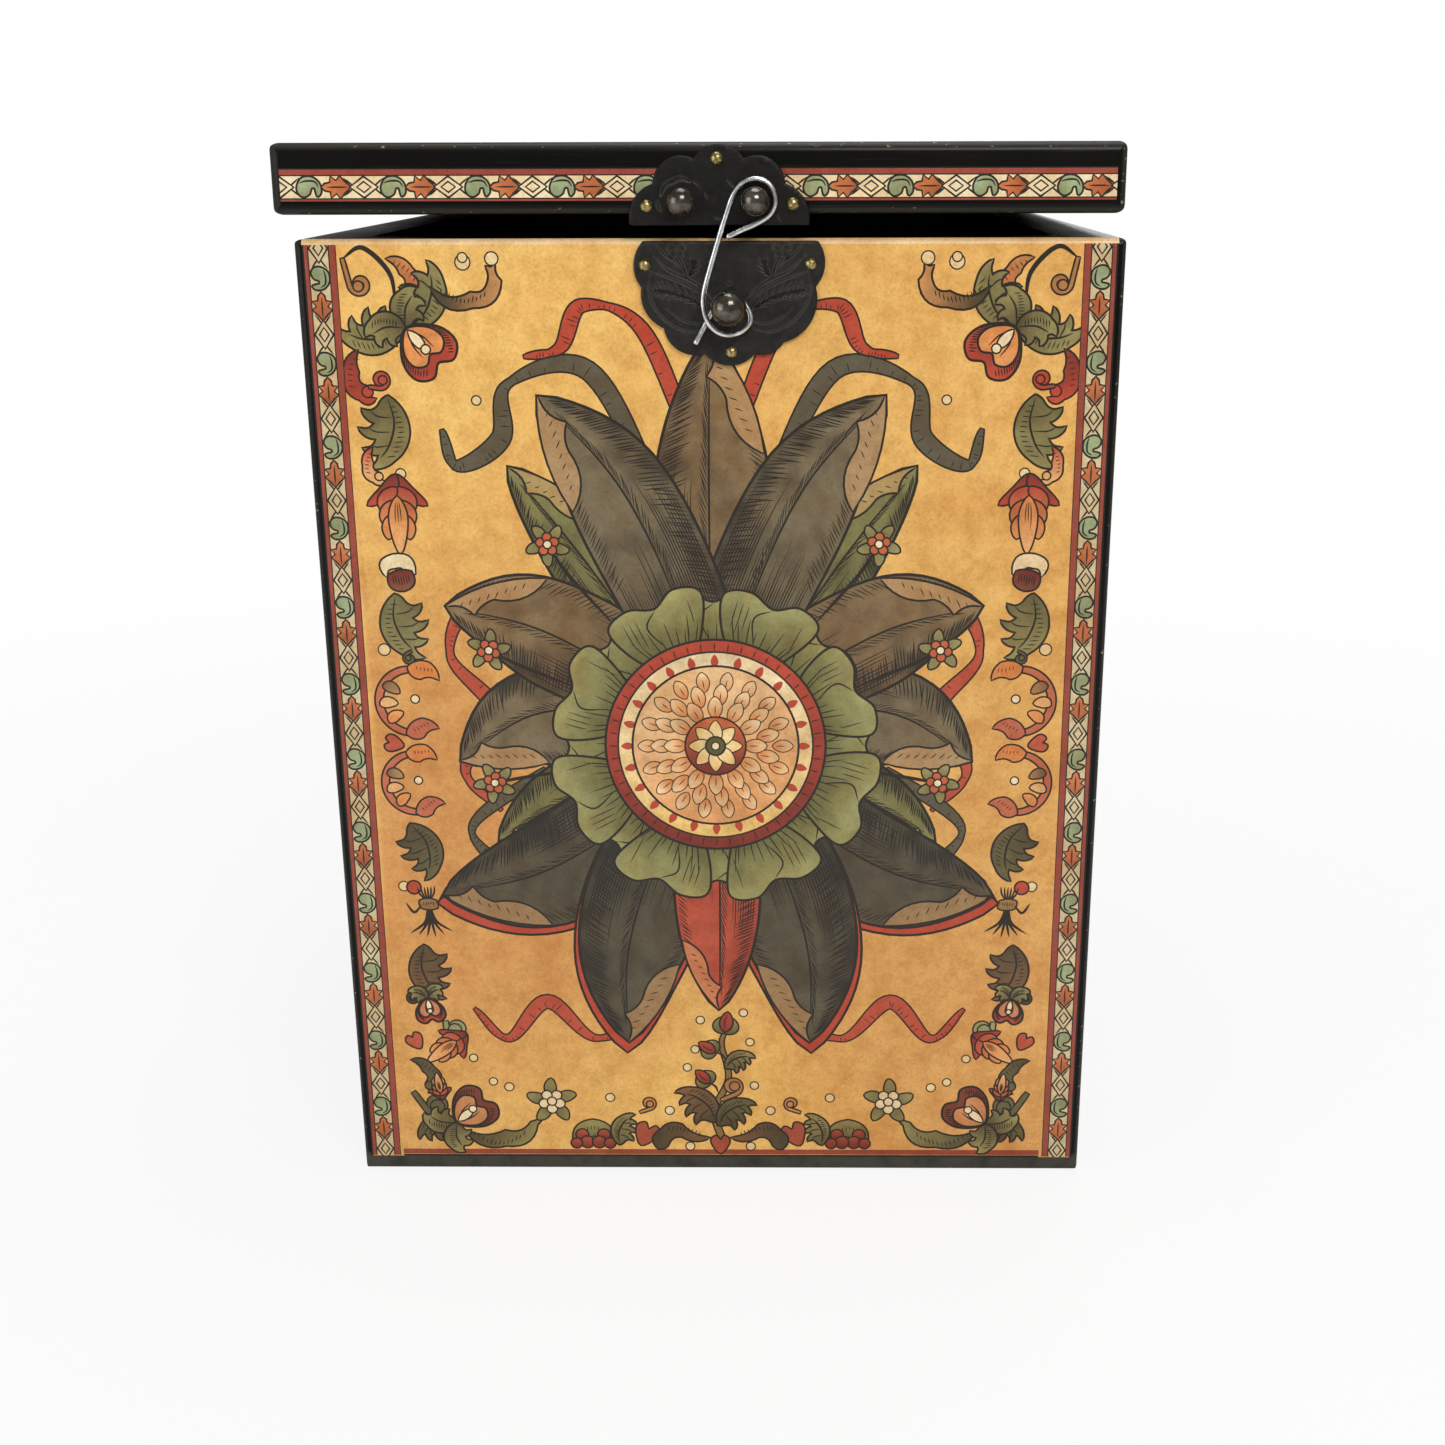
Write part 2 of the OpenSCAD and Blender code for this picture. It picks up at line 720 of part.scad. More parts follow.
// The rolled band round the face opening, lying on the hood.
band_roll = 2.6;
module hood_band() {
    ring_r = face_r + band_roll * 0.6;
    seat = sqrt(pow(hood_r + fit_gap / 3 + band_roll, 2) - pow(ring_r, 2));
    color("#b5473a") at_skull() difference() {
        translate([0, -seat, 0]) rotate([90, 0, 0])
            rotate_extrude() translate([ring_r, 0]) circle(band_roll);
        translate([-2 * hood_r, -2 * hood_r, -4 * hood_r + hood_foot * 0.72]) cube(4 * hood_r);
    }
}

// A horn of the cap: a tapered curve from the crown, seated on the hood. A bend is its distance
// out as a share of the reach, its height over the skull's centre and its radius.
side_horn = [[0.23, 20, 12.5], [0.48, 24, 10.5], [0.74, 20, 8.2], [0.92, 8, 6], [1, -6, 3.6]];
back_horn = [[0.19, 21, 11.5], [0.42, 22, 9.8], [0.65, 16, 7.6], [0.81, 3, 5.2], [0.87, -10, 3.2]];
horn_steps = 5;

module horn(bends, turn) {
    knots = [for (b = bends) [b[0] * horn_reach, 0, b[1], b[2]]];
    fine = spline(knots, horn_steps);
    difference() {
        at_skull() rotate(turn) tube([for (k = fine) [k[0], 0, k[2]]], [for (k = fine) k[3]], SOFT_FN);
        at_skull() sphere(hood_r + fit_gap / 3);
    }
}

module horn_left() { color("#3f403a") horn(side_horn, 180); }

module horn_right() { color("#666b4c") horn(side_horn, 0); }

module horn_back() { color("#3f403a") horn(back_horn, 90); }

// A folded-metal jingle bell: a thin ball with a slot, hung by a small eye.
module bell() {
    wall = 0.6;
    slot = 1.1;
    eye_r = 1.5;
    difference() {
        sphere(bell_r);
        sphere(bell_r - wall);
        translate([-2 * bell_r, -slot / 2, -bell_r * 1.5]) cube([4 * bell_r, slot, bell_r * 1.3]);
        for (s = [-1, 1]) translate([s * bell_r * 0.8, 0, -bell_r * 0.35]) sphere(slot);
    }
    translate([0, 0, bell_r + eye_r * 0.6]) rotate([90, 0, 0]) rotate_extrude()
        translate([eye_r, 0]) circle(0.4);
}

// Bells hang below the last bend of each horn.
function bell_at(bends) = let (b = bends[len(bends) - 1])
    [b[0] * horn_reach + 0.6, 0, b[1] - bell_r - 3.2];

module bells() {
    color("#b8964e") {
        for (turn = [0, 180]) at_skull() rotate(turn) translate(bell_at(side_horn)) bell();
        at_skull() rotate(90) translate(bell_at(back_horn)) bell();
    }
}

// ---- collar ----
ruff_t = 1.6;
ruff_wave = 3.6;        // height of a pleat at the rim

// Height of the collar's middle sheet over the plug, at share s of its reach and angle a.
function ruff_height(s, a) = 1.6 + 4.4 * s * (1.6 - s) + ruff_wave * s * s * sin(ruff_pleats * a);

module collar_ruff() {
    around = ruff_pleats * 8;
    rings = 5;
    inner = neck_wide + fit_gap;
    pleated = function (lift) [for (j = [0 : rings], k = [0 : around - 1])
        let (s = j / rings, r = inner + (ruff_r - inner) * s, a = 360 * k / around)
        [r * cos(a), r * sin(a), plug_top + ruff_height(s, a) + lift]];
    count = (rings + 1) * around;
    id = function (top, j, k) top * count + j * around + k % around;
    sheets = [for (top = [0, 1], j = [0 : rings - 1], k = [0 : around - 1])
        let (q = [id(top, j, k), id(top, j, k + 1), id(top, j + 1, k + 1), id(top, j + 1, k)])
        top == 1 ? q : [q[3], q[2], q[1], q[0]]];
    rims = [for (j = [0, rings], k = [0 : around - 1])
        let (q = [id(0, j, k), id(0, j, k + 1), id(1, j, k + 1), id(1, j, k)])
        j == 0 ? q : [q[3], q[2], q[1], q[0]]];
    color("#8f9a6c") on_figure_axis()
        polyhedron(concat(pleated(-ruff_t / 2), pleated(ruff_t / 2)), concat(sheets, rims), convexity = 8);
}

// ---- gown ----
gown_t = 2;
gown_hem_z = floor_t + 1;
gown_top_z = plug_top - 1;
shoulder_drop = 24;         // from the plug's underside to where the folds end
shoulder_z = plug_z - shoulder_drop;
shoulder_in = 7;            // the shoulders stand this far inside the folds
fold_deep = gown_r - seat_r - fit_gap - gown_t - 2;

// Outer radius of the gown at height z.
function gown_outer(z) =
    let (hem = seat_r + fit_gap + gown_t, neck = plug_r + fit_gap + gown_t)
    z > shoulder_z
        ? neck + (gown_r - shoulder_in - neck) * cos(90 * (z - shoulder_z) / (gown_top_z - shoulder_z))
        : let (u = (z - gown_hem_z) / (shoulder_z - gown_hem_z))
          hem + (gown_r - shoulder_in - hem) * u
          + fold_deep * pow(sin(180 * gown_folds * u), 2) * (1 - 0.3 * u);

module gown() {
    steps_folds = gown_folds * 6;
    steps_top = 8;
    heights = concat(
        [for (i = [0 : steps_folds - 1]) gown_hem_z + (shoulder_z - gown_hem_z) * i / steps_folds],
        [for (i = [0 : steps_top]) shoulder_z + (gown_top_z - shoulder_z) * i / steps_top]);
    outer = [for (z = heights) [gown_outer(z), z]];
    inner = [for (i = [len(heights) - 1 : -1 : 0]) [gown_outer(heights[i]) - gown_t, heights[i]]];
    color("#34332f") on_figure_axis() rotate_extrude() polygon(concat(outer, inner));
}

// ---- arms ----
// Bends of one arm as [x, y, z] from the figure's axis at the plug's underside, with radii: the
// first two lie against the gown, and the last stands clear of the wall.
arm_radii = [8, 8.6, 9.4];
arm_drops = [9, 22, 36];
arm_gap = 1.8;
wrist_room = 17;
arm = [
    [gown_outer(plug_z - arm_drops[0]) + arm_radii[0] + arm_gap, -2, -arm_drops[0]],
    [gown_outer(plug_z - arm_drops[1]) + arm_radii[1] + arm_gap, -8, -arm_drops[1]],
    [inner_half - wrist_room, -15, -arm_drops[2]],
];
cuff_outer = 10.5;
cuff_hole = 6.2;
cuff_t = 2.4;
palm_r = 5.6;
arm_way = unit(arm[2] - arm[1]);
wrist_reach = sqrt(pow(arm_radii[2] + fit_gap, 2) - pow(cuff_hole, 2)) + cuff_t / 2;
wrist = arm[2] + wrist_reach * arm_way;
palm = wrist + 3 * arm_way;
fingers = wrist + 10.5 * arm_way;
thumb = palm + [-4.8, -4.5, -3];

module from_shoulder(side) {
    translate([0, figure_y, plug_z]) mirror([side < 0 ? 1 : 0, 0, 0]) children();
}

module sleeve(side) {
    from_shoulder(side) for (i = [0, 1]) hull() {
        translate(arm[i]) sphere(arm_radii[i], $fn = SOFT_FN);
        translate(arm[i + 1]) sphere(arm_radii[i + 1], $fn = SOFT_FN);
    }
}

// Turns +Z to point along v.
module along(v) {
    rotate([0, acos(v[2] / norm(v)), atan2(v[1], v[0])]) children();
}

module cuff(side) {
    from_shoulder(side) translate(wrist) along(arm_way) difference() {
        cylinder(r = cuff_outer, h = cuff_t, center = true);
        cylinder(r = cuff_hole, h = 2 * cuff_t, center = true);
    }
}

module hand(side) {
    from_shoulder(side) difference() {
        union() {
            hull() {
                translate(palm) sphere(palm_r, $fn = SOFT_FN);
                translate(fingers) sphere(palm_r * 0.9, $fn = SOFT_FN);
            }
            hull() {
                translate(palm) sphere(palm_r * 0.55, $fn = SOFT_FN);
                translate(thumb) sphere(palm_r * 0.42, $fn = SOFT_FN);
            }
        }
        translate(arm[2]) sphere(arm_radii[2] + fit_gap);
    }
}

module sleeve_left() { color("#3b3a36") sleeve(-1); }

module sleeve_right() { color("#3b3a36") sleeve(1); }

module cuff_left() { color("#8f9a6c") cuff(-1); }

module cuff_right() { color("#8f9a6c") cuff(1); }

module hand_left() { color("#e3b48c") hand(-1); }

module hand_right() { color("#e3b48c") hand(1); }

front_panel();
back_panel();
left_panel();
right_panel();
bottom_board();
front_paper();
box_lock_plate();
box_plate_nails();
box_knob();
hinge_box_leaf(-1);  // hinge_box_leaf_left
hinge_box_leaf(1);  // hinge_box_leaf_right
hinge_pin(-1);  // hinge_pin_left
hinge_pin(1);  // hinge_pin_right
hinge_box_screws();
spring_seat();
seat_screws();
main_spring();
seat_staples();
gown();
lid_board();
lid_paper_band();
lid_lock_plate();
lid_plate_nails();
lid_knob(0);  // lid_knob_left
lid_knob(1);  // lid_knob_right
hinge_lid_leaf(-1);  // hinge_lid_leaf_left
hinge_lid_leaf(1);  // hinge_lid_leaf_right
hinge_lid_screws();
latch_wire();
neck_plug();
neck_screw();
plug_staples();
head();
nose();
hood();
hood_band();
horn_left();
horn_right();
horn_back();
bells();
collar_ruff();
sleeve_left();
sleeve_right();
cuff_left();
cuff_right();
hand_left();
hand_right();
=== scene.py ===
"""Looks for the jack-in-the-box: printed papers, lacquer, iron, wire, cloth and the studio round it."""

import cmath
import math
import random

import bmesh
import bpy
import numpy as np
from mathutils import Matrix, Vector
from mathutils.geometry import delaunay_2d_cdt


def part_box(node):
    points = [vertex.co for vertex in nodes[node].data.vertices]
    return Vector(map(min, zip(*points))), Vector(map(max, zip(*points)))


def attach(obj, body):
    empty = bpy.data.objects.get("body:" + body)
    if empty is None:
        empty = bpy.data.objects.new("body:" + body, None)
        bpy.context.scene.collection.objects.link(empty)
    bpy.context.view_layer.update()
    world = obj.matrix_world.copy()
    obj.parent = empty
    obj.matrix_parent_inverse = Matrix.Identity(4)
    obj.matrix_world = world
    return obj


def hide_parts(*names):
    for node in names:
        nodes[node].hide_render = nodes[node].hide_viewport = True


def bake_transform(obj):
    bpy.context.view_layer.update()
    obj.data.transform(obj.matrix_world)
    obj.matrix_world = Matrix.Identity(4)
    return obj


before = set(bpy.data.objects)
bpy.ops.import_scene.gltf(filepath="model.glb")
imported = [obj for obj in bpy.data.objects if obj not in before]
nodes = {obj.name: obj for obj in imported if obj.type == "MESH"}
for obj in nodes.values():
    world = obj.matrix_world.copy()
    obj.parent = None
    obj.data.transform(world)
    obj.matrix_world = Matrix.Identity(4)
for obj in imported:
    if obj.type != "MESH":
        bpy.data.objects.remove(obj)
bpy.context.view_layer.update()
MM = 0.001


# ---- drawing on paper: points are complex numbers x + iz in millimetres ----
INK = (0.022, 0.018, 0.014)
NIGHT = (0.004, 0.004, 0.003)  # the black margin
BOLD = 1.25  # how much heavier the lines are drawn than their widths say


def rgb(r, g, b):
    """A linear colour from 8-bit display values."""
    return tuple(((c / 255 + 0.055) / 1.055) ** 2.4 if c > 10 else c / 3294 for c in (r, g, b))


AMBER, TAN, CREAM = rgb(238, 205, 128), rgb(205, 146, 88), rgb(242, 230, 198)
RED, BRICK, ORANGE, PEACH = rgb(188, 76, 56), rgb(128, 50, 42), rgb(222, 142, 78), rgb(232, 184, 128)
OLIVE, SAGE, MOSS, MIST = rgb(92, 92, 52), rgb(168, 172, 120), rgb(96, 104, 62), rgb(164, 184, 148)
DUSK, LEAF = rgb(104, 100, 66), rgb(150, 146, 96)
UMBER, BARK, ROSE = rgb(84, 74, 52), rgb(128, 96, 66), rgb(196, 112, 84)
FADED_CREAM, FADED_RED = rgb(216, 204, 170), rgb(156, 76, 62)


def mix(a, b, t):
    t = np.asarray(t)[..., None]
    return np.asarray(a) * (1 - t) + np.asarray(b) * t


def curve(points, n=10):
    """A smooth open path through the points."""
    p = [2 * points[0] - points[1], *points, 2 * points[-1] - points[-2]]
    out = []
    for i in range(1, len(p) - 2):
        a, b, c, d = p[i - 1 : i + 3]
        bend, twist = 2 * a - 5 * b + 4 * c - d, 3 * b - a - 3 * c + d
        for k in range(n):
            t = k / n
            out.append(0.5 * (2 * b + (c - a) * t + bend * t**2 + twist * t**3))
    return np.array(out + [p[-2]])


def ripples(seed):
    """Waves of several lengths and directions, for wash."""
    rng = random.Random(seed)
    waves = []
    for size in (6, 8, 11, 15, 21, 30):
        way = 2 * math.pi / size * cmath.exp(6.28j * rng.random())
        waves.append((way, 6.28 * rng.random()))
    return waves


RIPPLES = ripples(31)


def wash(p):
    """Soft blotches from -1 to 1 over the paper, as a brush leaves them."""
    total = np.zeros(np.shape(p))
    for k, phase in RIPPLES:
        along, over = (p * np.conj(k)).real, (p * np.conj(1j * k)).real
        total += np.sin(along + phase + 1.7 * np.sin(0.63 * over + 2 * phase))
    return np.clip(total / 3.2, -1, 1)


def loop(points, n=8):
    """A smooth closed outline through the points."""
    p = list(points)
    path = curve([p[-1], *p, p[0], p[1]], n)
    return path[n : n * (len(p) + 1)]


def circle(r, n=72):
    return r * np.exp(2j * np.pi * np.arange(n) / n)


def normals(path):
    t = np.gradient(path)
    return 1j * t / np.maximum(np.abs(t), 1e-9)


def strap(path, left, right=None):
    """The outline of a strip along a path, with its half widths on each side."""
    right = left if right is None else right
    side = normals(path)
    return np.concatenate([path + side * left, (path - side * right)[::-1]])


def swell(n, power=0.6, peak=0.5):
    """Widths that grow from a point to a peak and close again."""
    t = np.linspace(0, 1, n)
    s = np.where(t < peak, t / peak * 0.5, 0.5 + (t - peak) / (1 - peak) * 0.5)
    return np.sin(np.pi * s) ** power


class Pen:
    """Draws in a place of its own; all pens of a drawing share its shapes and its random numbers."""

    def __init__(self, shapes, rng=None, at=0j, turn=1 + 0j, flip=False):
        self.shapes, self.rng, self.at, self.turn, self.flip = shapes, rng, at, turn, flip

    def map(self, p):
        return self.at + self.turn * (np.conj(p) if self.flip else np.asarray(p))

    def unmap(self, p):
        q = (p - self.at) / self.turn
        return np.conj(q) if self.flip else q

    def sub(self, at=0j, turn=0.0, size=1.0, flip=False):
        """A pen with its origin at a place, turned by degrees, sized and perhaps mirrored."""
        q = size * cmath.exp(1j * math.radians(turn))
        turned = self.turn * (q.conjugate() if self.flip else q)
        return Pen(self.shapes, self.rng, complex(self.map(at)), turned, self.flip != flip)

    def mirrored(self):
        return self.sub(0j, 180, 1, True)

    def fill(self, outline, tone):
        """tone is a colour, or (p, q, colour at p, colour at q) in this pen's place."""
        if not callable(tone) and len(tone) == 4:
            tone = (complex(self.map(tone[0])), complex(self.map(tone[1])), tone[2], tone[3])
        self.shapes.append((self.map(outline), tone))

    def inked(self, outline, tone, w=0.32):
        """A filled outline with an ink line round it, w wide on the paper whatever the pen's size."""
        world = self.map(outline)
        nxt, prv = np.roll(world, -1), np.roll(world, 1)
        area = np.sum(world.real * nxt.imag - nxt.real * world.imag)
        a, b = world - prv, nxt - world
        a, b = a / np.maximum(abs(a), 1e-9), b / np.maximum(abs(b), 1e-9)
        n = -1j * (a + b)
        n = n / np.maximum(abs(n), 0.35) * (1 if area > 0 else -1)
        self.shapes.append((world + n * w * BOLD, INK))
        self.fill(outline, tone)

    def stroke(self, path, w=0.3, tone=INK, taper=0.5):
        n = len(path)
        width = w * BOLD / 2 * np.maximum(swell(n, taper), 0.12) / max(abs(self.turn), 1e-6)
        self.fill(strap(np.asarray(path), width), tone)

    def disc(self, at, r, tone, w=0.28, n=18):
        self.inked(at + circle(r, n), tone, w)


class Blade:
    """A leaf, petal or ribbon: a midrib with half widths, and a way to find points on it."""

    def __init__(self, points, left, right=None, power=0.6, peak=0.45):
        self.rib = curve(points, 9)
        self.side = normals(self.rib)
        body = swell(len(self.rib), power, peak)
        self.left, self.right = body * left, body * (left if right is None else right)
        self.outline = self.edge_line()

    def edge_line(self):
        """The outline, along the left edge and back along the right one."""
        back = (self.rib - self.side * self.right)[-2:0:-1]
        return np.concatenate([self.rib + self.side * self.left, back])

    def at(self, t, s):
        """The point a share t along and s across, from -1 to 1."""
        i = np.asarray(t) * (len(self.rib) - 1)
        k = np.arange(len(self.rib))
        part = lambda a: np.interp(i, k, a.real) + 1j * np.interp(i, k, a.imag)
        s = np.asarray(s)
        wide = np.where(s > 0, part(self.left + 0j).real, part(self.right + 0j).real)
        return part(self.rib) + part(self.side) * wide * s

    def hatch(self, pen, t0, t1, s0, s1, count, w=0.2):
        """Fine strokes that run along the blade between shares s0 and s1 of its width."""
        for k in range(count):
            s = s0 + (s1 - s0) * (k + 0.5) / count
            jig = pen.rng.uniform(-0.06, 0.06)
            end = t1 + pen.rng.uniform(-0.25, 0.1) * (t1 - t0)
            t = np.linspace(t0 + jig * 0.3, end, 7)
            pen.stroke(self.at(np.clip(t, 0, 1), s * np.ones(7)), w)

    def rungs(self, pen, t0, t1, s0, s1, count, w=0.2, slant=0.03):
        """Fine strokes across the blade."""
        for k in range(count):
            t = t0 + (t1 - t0) * (k + 0.5) / count
            e = s1 - pen.rng.uniform(0, 0.4) * (s1 - s0)
            f = np.linspace(0, 1, 5)
            pen.stroke(self.at(np.clip(t + slant * f, 0, 1), s0 + (e - s0) * f), w)


# ---- motifs of the border ----


def arcs(points, bows, n=7):
    """Joins points by arcs and keeps the points sharp; a bow to the left is a share of its length."""
    points = list(points) + [points[0]]
    t = np.arange(n) / n
    parts = [a + (b - a) * (t + 4j * bow * t * (1 - t)) for a, b, bow in zip(points, points[1:], bows)]
    return np.concatenate(parts)


def comb(pen, start, end, way, count, w=0.2, bow=0.0):
    """Short strokes side by side that leave the line from start to end."""
    for k in range(count):
        t = (k + 0.5) / count
        p = start + (end - start) * (t + 4j * bow * t * (1 - t))
        pen.stroke(np.linspace(p, p + way * pen.rng.uniform(0.6, 1), 4), w)


def leaf(pen, tones=(DUSK, LEAF)):
    """A plump leaf 14 long along +x, smooth above and with hooked teeth below."""
    outline = arcs(
        [0j, 6.4 + 4.7j, 12.6 + 2.2j, 14.8 - 2.6j, 11.8 - 0.9j, 11 - 4.2j, 8.7 - 1.6j, 7 - 5.4j,
            5.6 - 2.1j, 3.2 - 5j, 2 - 1.6j],
        [0.13, 0.12, 0.12, -0.14, 0.14, -0.22, 0.16, -0.22, 0.16, -0.22, 0.1],
    )
    pen.inked(outline, (1 - 3j, 12 + 4j, *tones), 0.4)
    comb(pen, 1.4 + 1.3j, 12.2 + 2.2j, 0.5 - 2.2j, 11, 0.22, 0.2)
    pen.stroke(curve([0.4 + 0j, 5 + 1.6j, 9.6 + 1j, 12.6 - 0.6j], 6), 0.4)
    for x, tip in ((4.2, 3.4 - 3.3j), (7, 6.8 - 3.5j), (9.6, 10.2 - 2.6j)):
        pen.stroke(curve([x + 1.3j, (x + tip) / 2 + 0.5, tip], 4), 0.28)


def hook(pen, tones=(BRICK, RED)):
    """A curled slip of leaf 8 long that ends in a small ball."""
    outline = arcs([0j, 4 + 3.4j, 8.2 + 2j, 8.6 - 0.8j, 6.4 - 0.2j, 3.6 + 0.9j],
        [0.2, 0.22, 0.3, -0.5, -0.3, -0.12])
    pen.inked(outline, (0j, 8, *tones), 0.36)
    comb(pen, 0.8 + 0.9j, 6 + 3.2j, 0.6 - 1.3j, 6, 0.2, 0.15)
    pen.disc(7.2 + 0.3j, 0.85, tones[1], 0.3, 12)


def curl(pen, turns=1.2, r=2.2, w=0.9, tone=MOSS, lead=4.0):
    """A tendril that leads along +x and winds up."""
    a = np.linspace(-math.pi / 2, -math.pi / 2 + 2 * math.pi * turns, 26)
    rad = np.linspace(r, r * 0.25, 26)
    path = np.concatenate([np.linspace(0, lead, 7)[:-1] + 0j, lead + 1j * r + rad * np.exp(1j * a)])
    width = w * np.linspace(0.35, 1, len(path)) ** 0.7 * np.linspace(1, 0.75, len(path))
    pen.inked(strap(path, width * 0.5), tone, 0.34)
    pen.disc(path[-1], w * 0.75, tone, 0.32, 10)


def lily(pen):
    """A drooping flower 15 long along +x: red back petals, orange ones in front."""
    for s in (1, -1):
        b = Blade([0, 3 + 1.6j * s, 5.6 + 5.4j * s], 1.3, 1.3, 0.7, 0.45)
        pen.inked(b.outline, (0j, 6, BRICK, RED), 0.36)
    for x, y, share in ((2.4, 1.2, 0), (4.8, 1.0, 0.4), (7.2, 0.7, 0.8)):
        tone = mix(RED, ORANGE, share)
        for s in (1, -1):
            b = Blade([x, x + 2.2 + (y + 0.9) * s * 1j, x + 4.6 + (y + 1.3) * s * 1j], 1.25, power=0.65)
            pen.inked(b.outline, (complex(x), x + 4.6, tone, mix(tone, PEACH, 0.35)), 0.34)
    b = Blade([4, 8.6 + 0j, 14.6], 1.6, power=0.7)
    pen.inked(b.outline, (4, 14, ORANGE, PEACH), 0.34)
    b.hatch(pen, 0.1, 0.6, -0.5, 0.5, 3, 0.2)


def acorn(pen):
    """A striped brown nut in a pale curled cup; it hangs along +x."""
    cup = [-4.6 - 0.6j, 0.8 + 3.6j, 0.4 + 1.4j, -1.4 - 0.8j, 0.6 - 3.2j]
    pen.inked(arcs(cup, [0.32, 0.1, -0.3, -0.3, 0.4]), CREAM, 0.36)
    nut = arcs([0.2 + 2.8j, 4.4 + 0j, 0.2 - 2.8j], [0.3, 0.3, 0.12])
    pen.inked(nut, (0j, 4, BRICK, mix(BRICK, BARK, 0.5)), 0.38)
    comb(pen, 0.5 + 2.2j, 0.5 - 2.2j, 2.9 + 0j, 7, 0.24)


def heart(pen, r=1.6, tone=RED):
    right = [0.8 * r - 0.2j * r, 0.95 * r + 0.55j * r, 0.45 * r + 0.95j * r]
    left = [-p.conjugate() for p in right[::-1]]
    pen.inked(loop([-1.15j * r, *right, 0.45j * r, *left], 4), tone, 0.36)


def bow_scroll(pen):
    """A stem bent round like a bow 16 long, with a leaf at each end and small ones inside."""
    a = np.radians(np.linspace(112, 292, 26))
    stem = 8 + 7.6 * np.exp(1j * a) * np.exp(1j * math.radians(-22))
    pen.inked(strap(stem, 0.5 + 0.25 * swell(26)), ROSE, 0.36)
    for end, turn, tone in ((stem[0], -14, ORANGE), (stem[-1], 20, ROSE)):
        tip = pen.sub(end, turn)
        slip = [-1.2 + 0.2j, 3.2 + 2.6j, 6.2 - 0.6j, 2.2 - 1.6j]
        tip.inked(arcs(slip, [0.16, 0.12, -0.16, 0.2]), tone, 0.34)
        comb(tip, 0.2 + 0.9j, 4.4 + 1.7j, 0.5 - 1.2j, 5, 0.18)
    for at, turn, tone in ((stem[9], -20, BARK), (stem[14], 10, PEACH), (stem[19], 42, ORANGE)):
        b = Blade([0.2, 1.9 + 0.5j, 4.1], 1.15, power=0.65)
        pen.sub(at, turn).inked(b.outline, (0j, 4, tone, mix(tone, PEACH, 0.4)), 0.32)
    pen.disc(8.6 + 0.6j, 0.85, CREAM, 0.28, 12)


def sheaf(pen):
    """A tied bunch of fine stalks that hangs along +x."""
    for spread in (-1, -0.62, -0.25, 0.12, 0.5, 0.9):
        end = 12.4 - 1.4 * abs(spread) + 5.2j * spread
        pen.stroke(curve([4.6 + 0.4j * spread, 8.4 + 1.4j * spread, end], 6), 0.55)
        pen.stroke(curve([3.4 + 0.2j * spread, 1.4 + 1.7j * spread, -0.4 + 2.1j * spread], 5), 0.4)
    tie = arcs([3 - 1.9j, 3.2 + 1.7j, 5 + 1.9j, 4.8 - 1.7j], [0.1] * 4)
    pen.inked(tie, mix(DUSK, TAN, 0.4), 0.34)
    comb(pen, 3.4 - 1.4j, 3.4 + 1.4j, 1.2 + 0j, 5, 0.22)
    pen.stroke(curve([4 + 1.6j, 2.2 + 4.2j, 4.6 + 5.6j], 5), 0.55)
    pen.stroke(curve([4 - 1.6j, 5.8 - 3.6j, 3.2 - 5.2j], 5), 0.55)


def twin_lobes(k):
    """The outline of two round lobes that open along +x, k times 13 wide."""
    upper = [k * p for p in (4.4 + 5.6j, 9.6 + 6.6j, 12.2 + 3.4j)]
    lower = [p.conjugate() for p in upper[::-1]]
    return loop([0j, *upper, 10.4 * k + 0j, *lower], 6)


def pansy(pen, tones=(RED, ORANGE)):
    """A two-lobed flower that opens along +x, about 14 wide, on a frill of leaves."""
    wavy = [0j, 3.4 + 4.4j, 7.6 + 3.4j, 9.6 + 0.2j, 7.4 - 0.2j, 6.6 - 3j, 4.6 - 1.2j, 3.2 - 3.6j, 2 - 1.4j]
    bows = [0.16, 0.14, 0.16, -0.2, 0.2, -0.25, 0.2, -0.25, 0.12]
    for s in (1, -1):
        frill = pen.sub(-0.6, 118 * s, 1.0, s < 0)
        frill.inked(arcs(wavy, bows), (0j, 8, UMBER, LEAF), 0.4)
        comb(frill, 1.2 + 1.8j, 7.4 + 3.2j, 0.7 - 2.2j, 9, 0.22, 0.14)
        frill.stroke(curve([0.4, 4.4 + 1.1j, 7.8 + 0.4j], 5), 0.36)
    pen.inked(twin_lobes(1), (0j, 12, BRICK, tones[0]), 0.46)
    for s in (1, -1):
        comb(pen, 4.6 + 6.2j * s, 11.6 + 4.4j * s, -1.6 - 1.9j * s, 11, 0.26, 0.16 * s)
    pen.inked(twin_lobes(0.72) + 0.2, (0j, 9, mix(tones[1], TAN, 0.2), mix(tones[1], PEACH, 0.35)), 0.42)
    for s in (1, -1):
        pen.stroke(curve([0.8, 3.6 + 1.6j * s, 7.4 + 1.9j * s], 6), 0.3)
    pen.inked(arcs([0.6 + 0j, 4.6 + 0.9j, 5 - 0.9j], [0.12, 0.4, 0.12]), CREAM, 0.32)
    pen.disc(6.4 + 0j, 0.95, CREAM, 0.3, 12)


def star_flower(pen, tone=CREAM):
    """A cluster of small rings with pointed leaves round it."""
    for k in range(5):
        b = Blade([1.6, 4 + 0.3j, 6.4], 1.35, power=0.6)
        pen.sub(0j, 18 + 72 * k).inked(b.outline, (0j, 6, DUSK, LEAF), 0.34)
    for k in range(5):
        pen.disc(2.1 * cmath.exp(1j * math.radians(54 + 72 * k)), 1.15, tone, 0.32, 12)
    pen.disc(0j, 1.0, CREAM, 0.32, 12)


